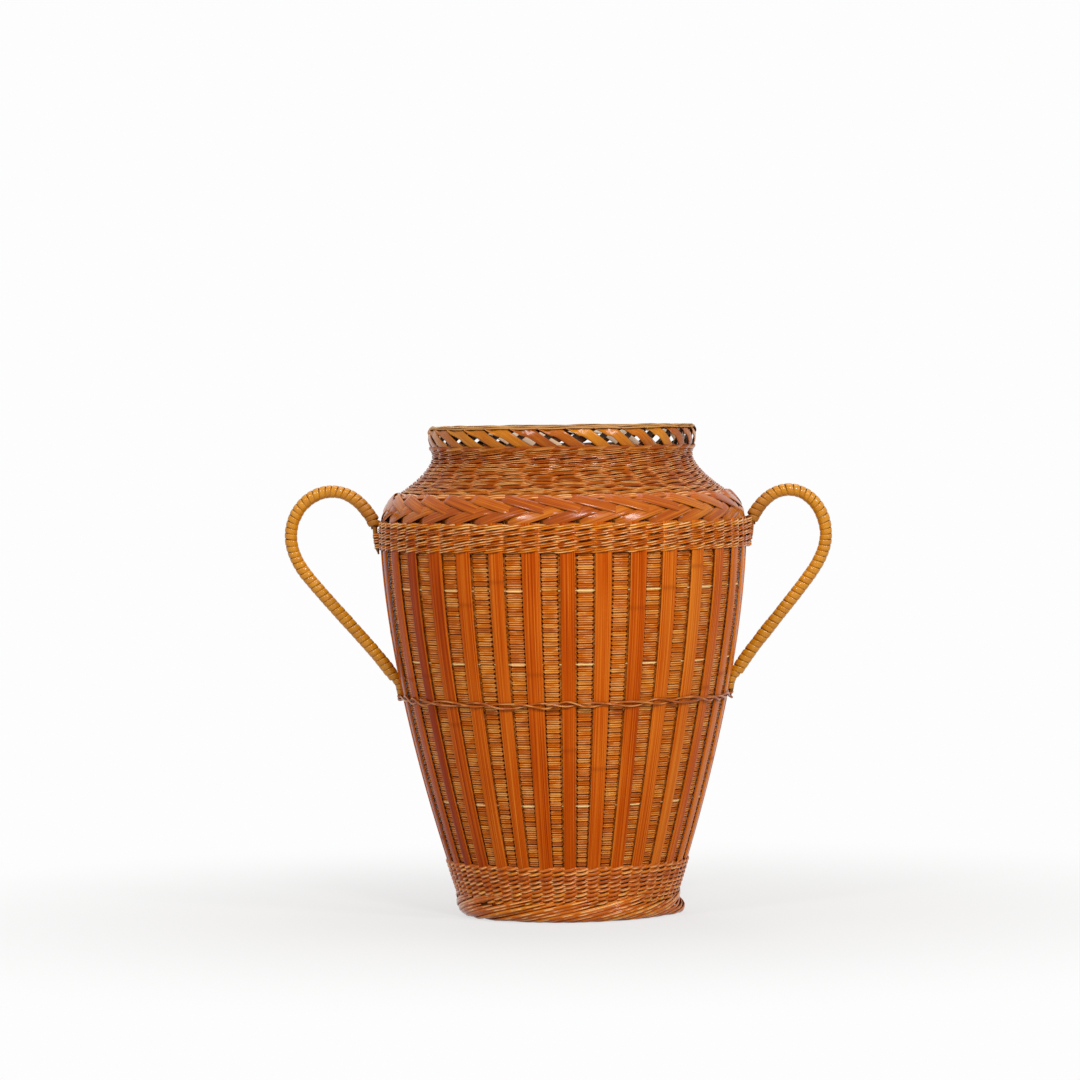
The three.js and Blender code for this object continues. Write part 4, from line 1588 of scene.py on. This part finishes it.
@dataclass
class Studio:
    """Pale floor, soft lamps, white surroundings and the photograph's camera."""

    focal_mm: float = 169.0
    sensor_mm: float = 36.0
    distance: float = 2600.0
    camera_height: float = 265.0
    camera_reach: float = 50000.0
    aim_x: float = -12.0
    aim_height: float = 191.8
    roll: float = math.radians(0.75)
    lamp_aim: float = 130.0
    floor_half: float = 6000.0
    shadow_reach: Span = (80.0, 450.0)
    shadow_white: float = 0.68
    soft_light: float = 0.28
    white: str = "#fdfdfd"
    paper: str = "#bebbb8"
    lamps: tuple[Softbox, ...] = (
        Softbox("left_softbox", (-1.4, -2.1, 1.9), 0.4, 28.0),
        Softbox("key_softbox", (0.5, -2.4, 2.2), 0.4, 40.0),
        Softbox("right_softbox", (1.7, -1.9, 1.7), 0.45, 32.0),
        Softbox("top_softbox", (0.2, 0.5, 2.4), 1.2, 16.0),
        Softbox("back_softbox", (-0.5, 2.6, 1.5), 1.0, 26.0, in_gloss=False),
    )

    def build(self) -> None:
        """Builds floor, world, lamps and camera."""
        scene = bpy.context.scene
        scene.view_settings.view_transform = "Standard"
        self.floor()
        scene.world = self.world()
        for box in self.lamps:
            self.lamp(box)
        scene.camera = self.camera()

    def seen_rays(self, tree: bpy.types.NodeTree) -> bpy.types.NodeSocket:
        """Factor that is 1 for rays by which the surroundings are seen: straight, mirrored or through glass.

        Args:
            tree: Node tree that takes the nodes.

        Returns:
            The factor's socket.
        """
        path = add_node(tree, "ShaderNodeLightPath").outputs
        seen = path["Is Camera Ray"]
        for kind in ("Is Glossy Ray", "Is Transmission Ray"):
            seen = add_node(tree, "ShaderNodeMath", {0: seen, 1: path[kind]}, operation="MAXIMUM").outputs[0]
        return seen

    def floor(self) -> None:
        """A wide level sheet of pale paper that keeps the vase's shadow."""
        side = self.floor_half * MM
        corners = [(-side, -side, 0), (side, -side, 0), (side, side, 0), (-side, side, 0)]
        mesh = bpy.data.meshes.new("floor")
        mesh.from_pydata(corners, [], [(0, 1, 2, 3)])
        material = bpy.data.materials.new("pale_paper")
        material.use_nodes = True
        tree = material.node_tree
        tree.nodes.clear()
        paper = add_node(tree, "ShaderNodeBsdfDiffuse", {"Color": linear(self.paper)})
        white = add_node(tree, "ShaderNodeEmission", {"Color": linear(self.white), "Strength": 1.0})
        place = add_node(tree, "ShaderNodeTexCoord").outputs["Object"]
        away = add_node(tree, "ShaderNodeVectorMath", {0: place}, operation="LENGTH").outputs["Value"]
        near, far = self.shadow_reach
        fade = add_node(
            tree, "ShaderNodeMapRange",
            {"Value": away, "From Min": near * MM, "From Max": far * MM, "To Min": self.shadow_white,
             "To Max": 1.0},
            interpolation_type="SMOOTHSTEP")
        share = add_node(
            tree, "ShaderNodeMath", {0: self.seen_rays(tree), 1: fade.outputs[0]}, operation="MULTIPLY")
        mixed = add_node(
            tree, "ShaderNodeMixShader", {0: share.outputs[0], 1: paper.outputs[0], 2: white.outputs[0]})
        add_node(tree, "ShaderNodeOutputMaterial", {"Surface": mixed.outputs[0]})
        mesh.materials.append(material)
        floor = bpy.data.objects.new("floor", mesh)
        bpy.context.scene.collection.objects.link(floor)

    def world(self) -> bpy.types.World:
        """White surroundings where they are seen, and a soft even light from them elsewhere.

        Returns:
            The world.
        """
        world = bpy.data.worlds.new("white_studio")
        world.use_nodes = True
        tree = world.node_tree
        tree.nodes.clear()
        soft = add_node(
            tree, "ShaderNodeBackground", {"Color": linear("#ffffff"), "Strength": self.soft_light})
        white = add_node(tree, "ShaderNodeBackground", {"Color": linear(self.white), "Strength": 1.0})
        mixed = add_node(
            tree, "ShaderNodeMixShader", {0: self.seen_rays(tree), 1: soft.outputs[0], 2: white.outputs[0]})
        add_node(tree, "ShaderNodeOutputWorld", {"Surface": mixed.outputs[0]})
        return world

    def lamp(self, box: Softbox) -> None:
        """Hangs a softbox that looks at the middle of the vase.

        Args:
            box: Its place, side and power.
        """
        light = bpy.data.lights.new(box.name, "AREA")
        light.size = box.side
        light.energy = box.power
        lamp = bpy.data.objects.new(box.name, light)
        lamp.location = box.place
        aim = Vector((0, 0, self.lamp_aim * MM)) - Vector(box.place)
        lamp.rotation_euler = aim.to_track_quat("-Z", "Y").to_euler()
        lamp.visible_glossy = box.in_gloss
        bpy.context.scene.collection.objects.link(lamp)

    def camera(self) -> bpy.types.Object:
        """A long lens a little above the vase, rolled as the photograph is.

        Returns:
            The camera.
        """
        data = bpy.data.cameras.new("camera")
        data.lens = self.focal_mm
        data.sensor_width = self.sensor_mm
        data.clip_end = self.camera_reach * MM
        place = Vector((self.aim_x, -self.distance, self.camera_height)) * MM
        aim = Vector((self.aim_x, 0, self.aim_height)) * MM
        turn = (aim - place).to_track_quat("-Z", "Y").to_matrix() @ Matrix.Rotation(-self.roll, 3, "Z")
        camera = bpy.data.objects.new("camera", data)
        camera.matrix_world = Matrix.LocRotScale(place, turn, None)
        bpy.context.scene.collection.objects.link(camera)
        return camera


def main() -> None:
    """Builds the vase from the table up, then the studio."""
    logging.basicConfig(level=logging.INFO, format="%(message)s")
    rng = np.random.default_rng(SEED)
    form = VaseForm()
    for part in (
        BaseMat(form, rng),
        FootBorder(form, rng),
        BodyWeave(form, rng),
        SlatField(form, rng),
        Bands(form, rng),
        WaistBinding(form, rng),
        ShoulderBraid(form, rng),
        Neck(form, rng),
        Rim(form, rng),
        Handle(form, rng, Side.LEFT, reach=46.0, sag=0.0, tail_drop=2.4),
        Handle(form, rng, Side.RIGHT, reach=41.0, sag=2.0, tail_drop=-1.5),
        Studio(),
    ):
        part.build()


if __name__ == "__main__":
    main()
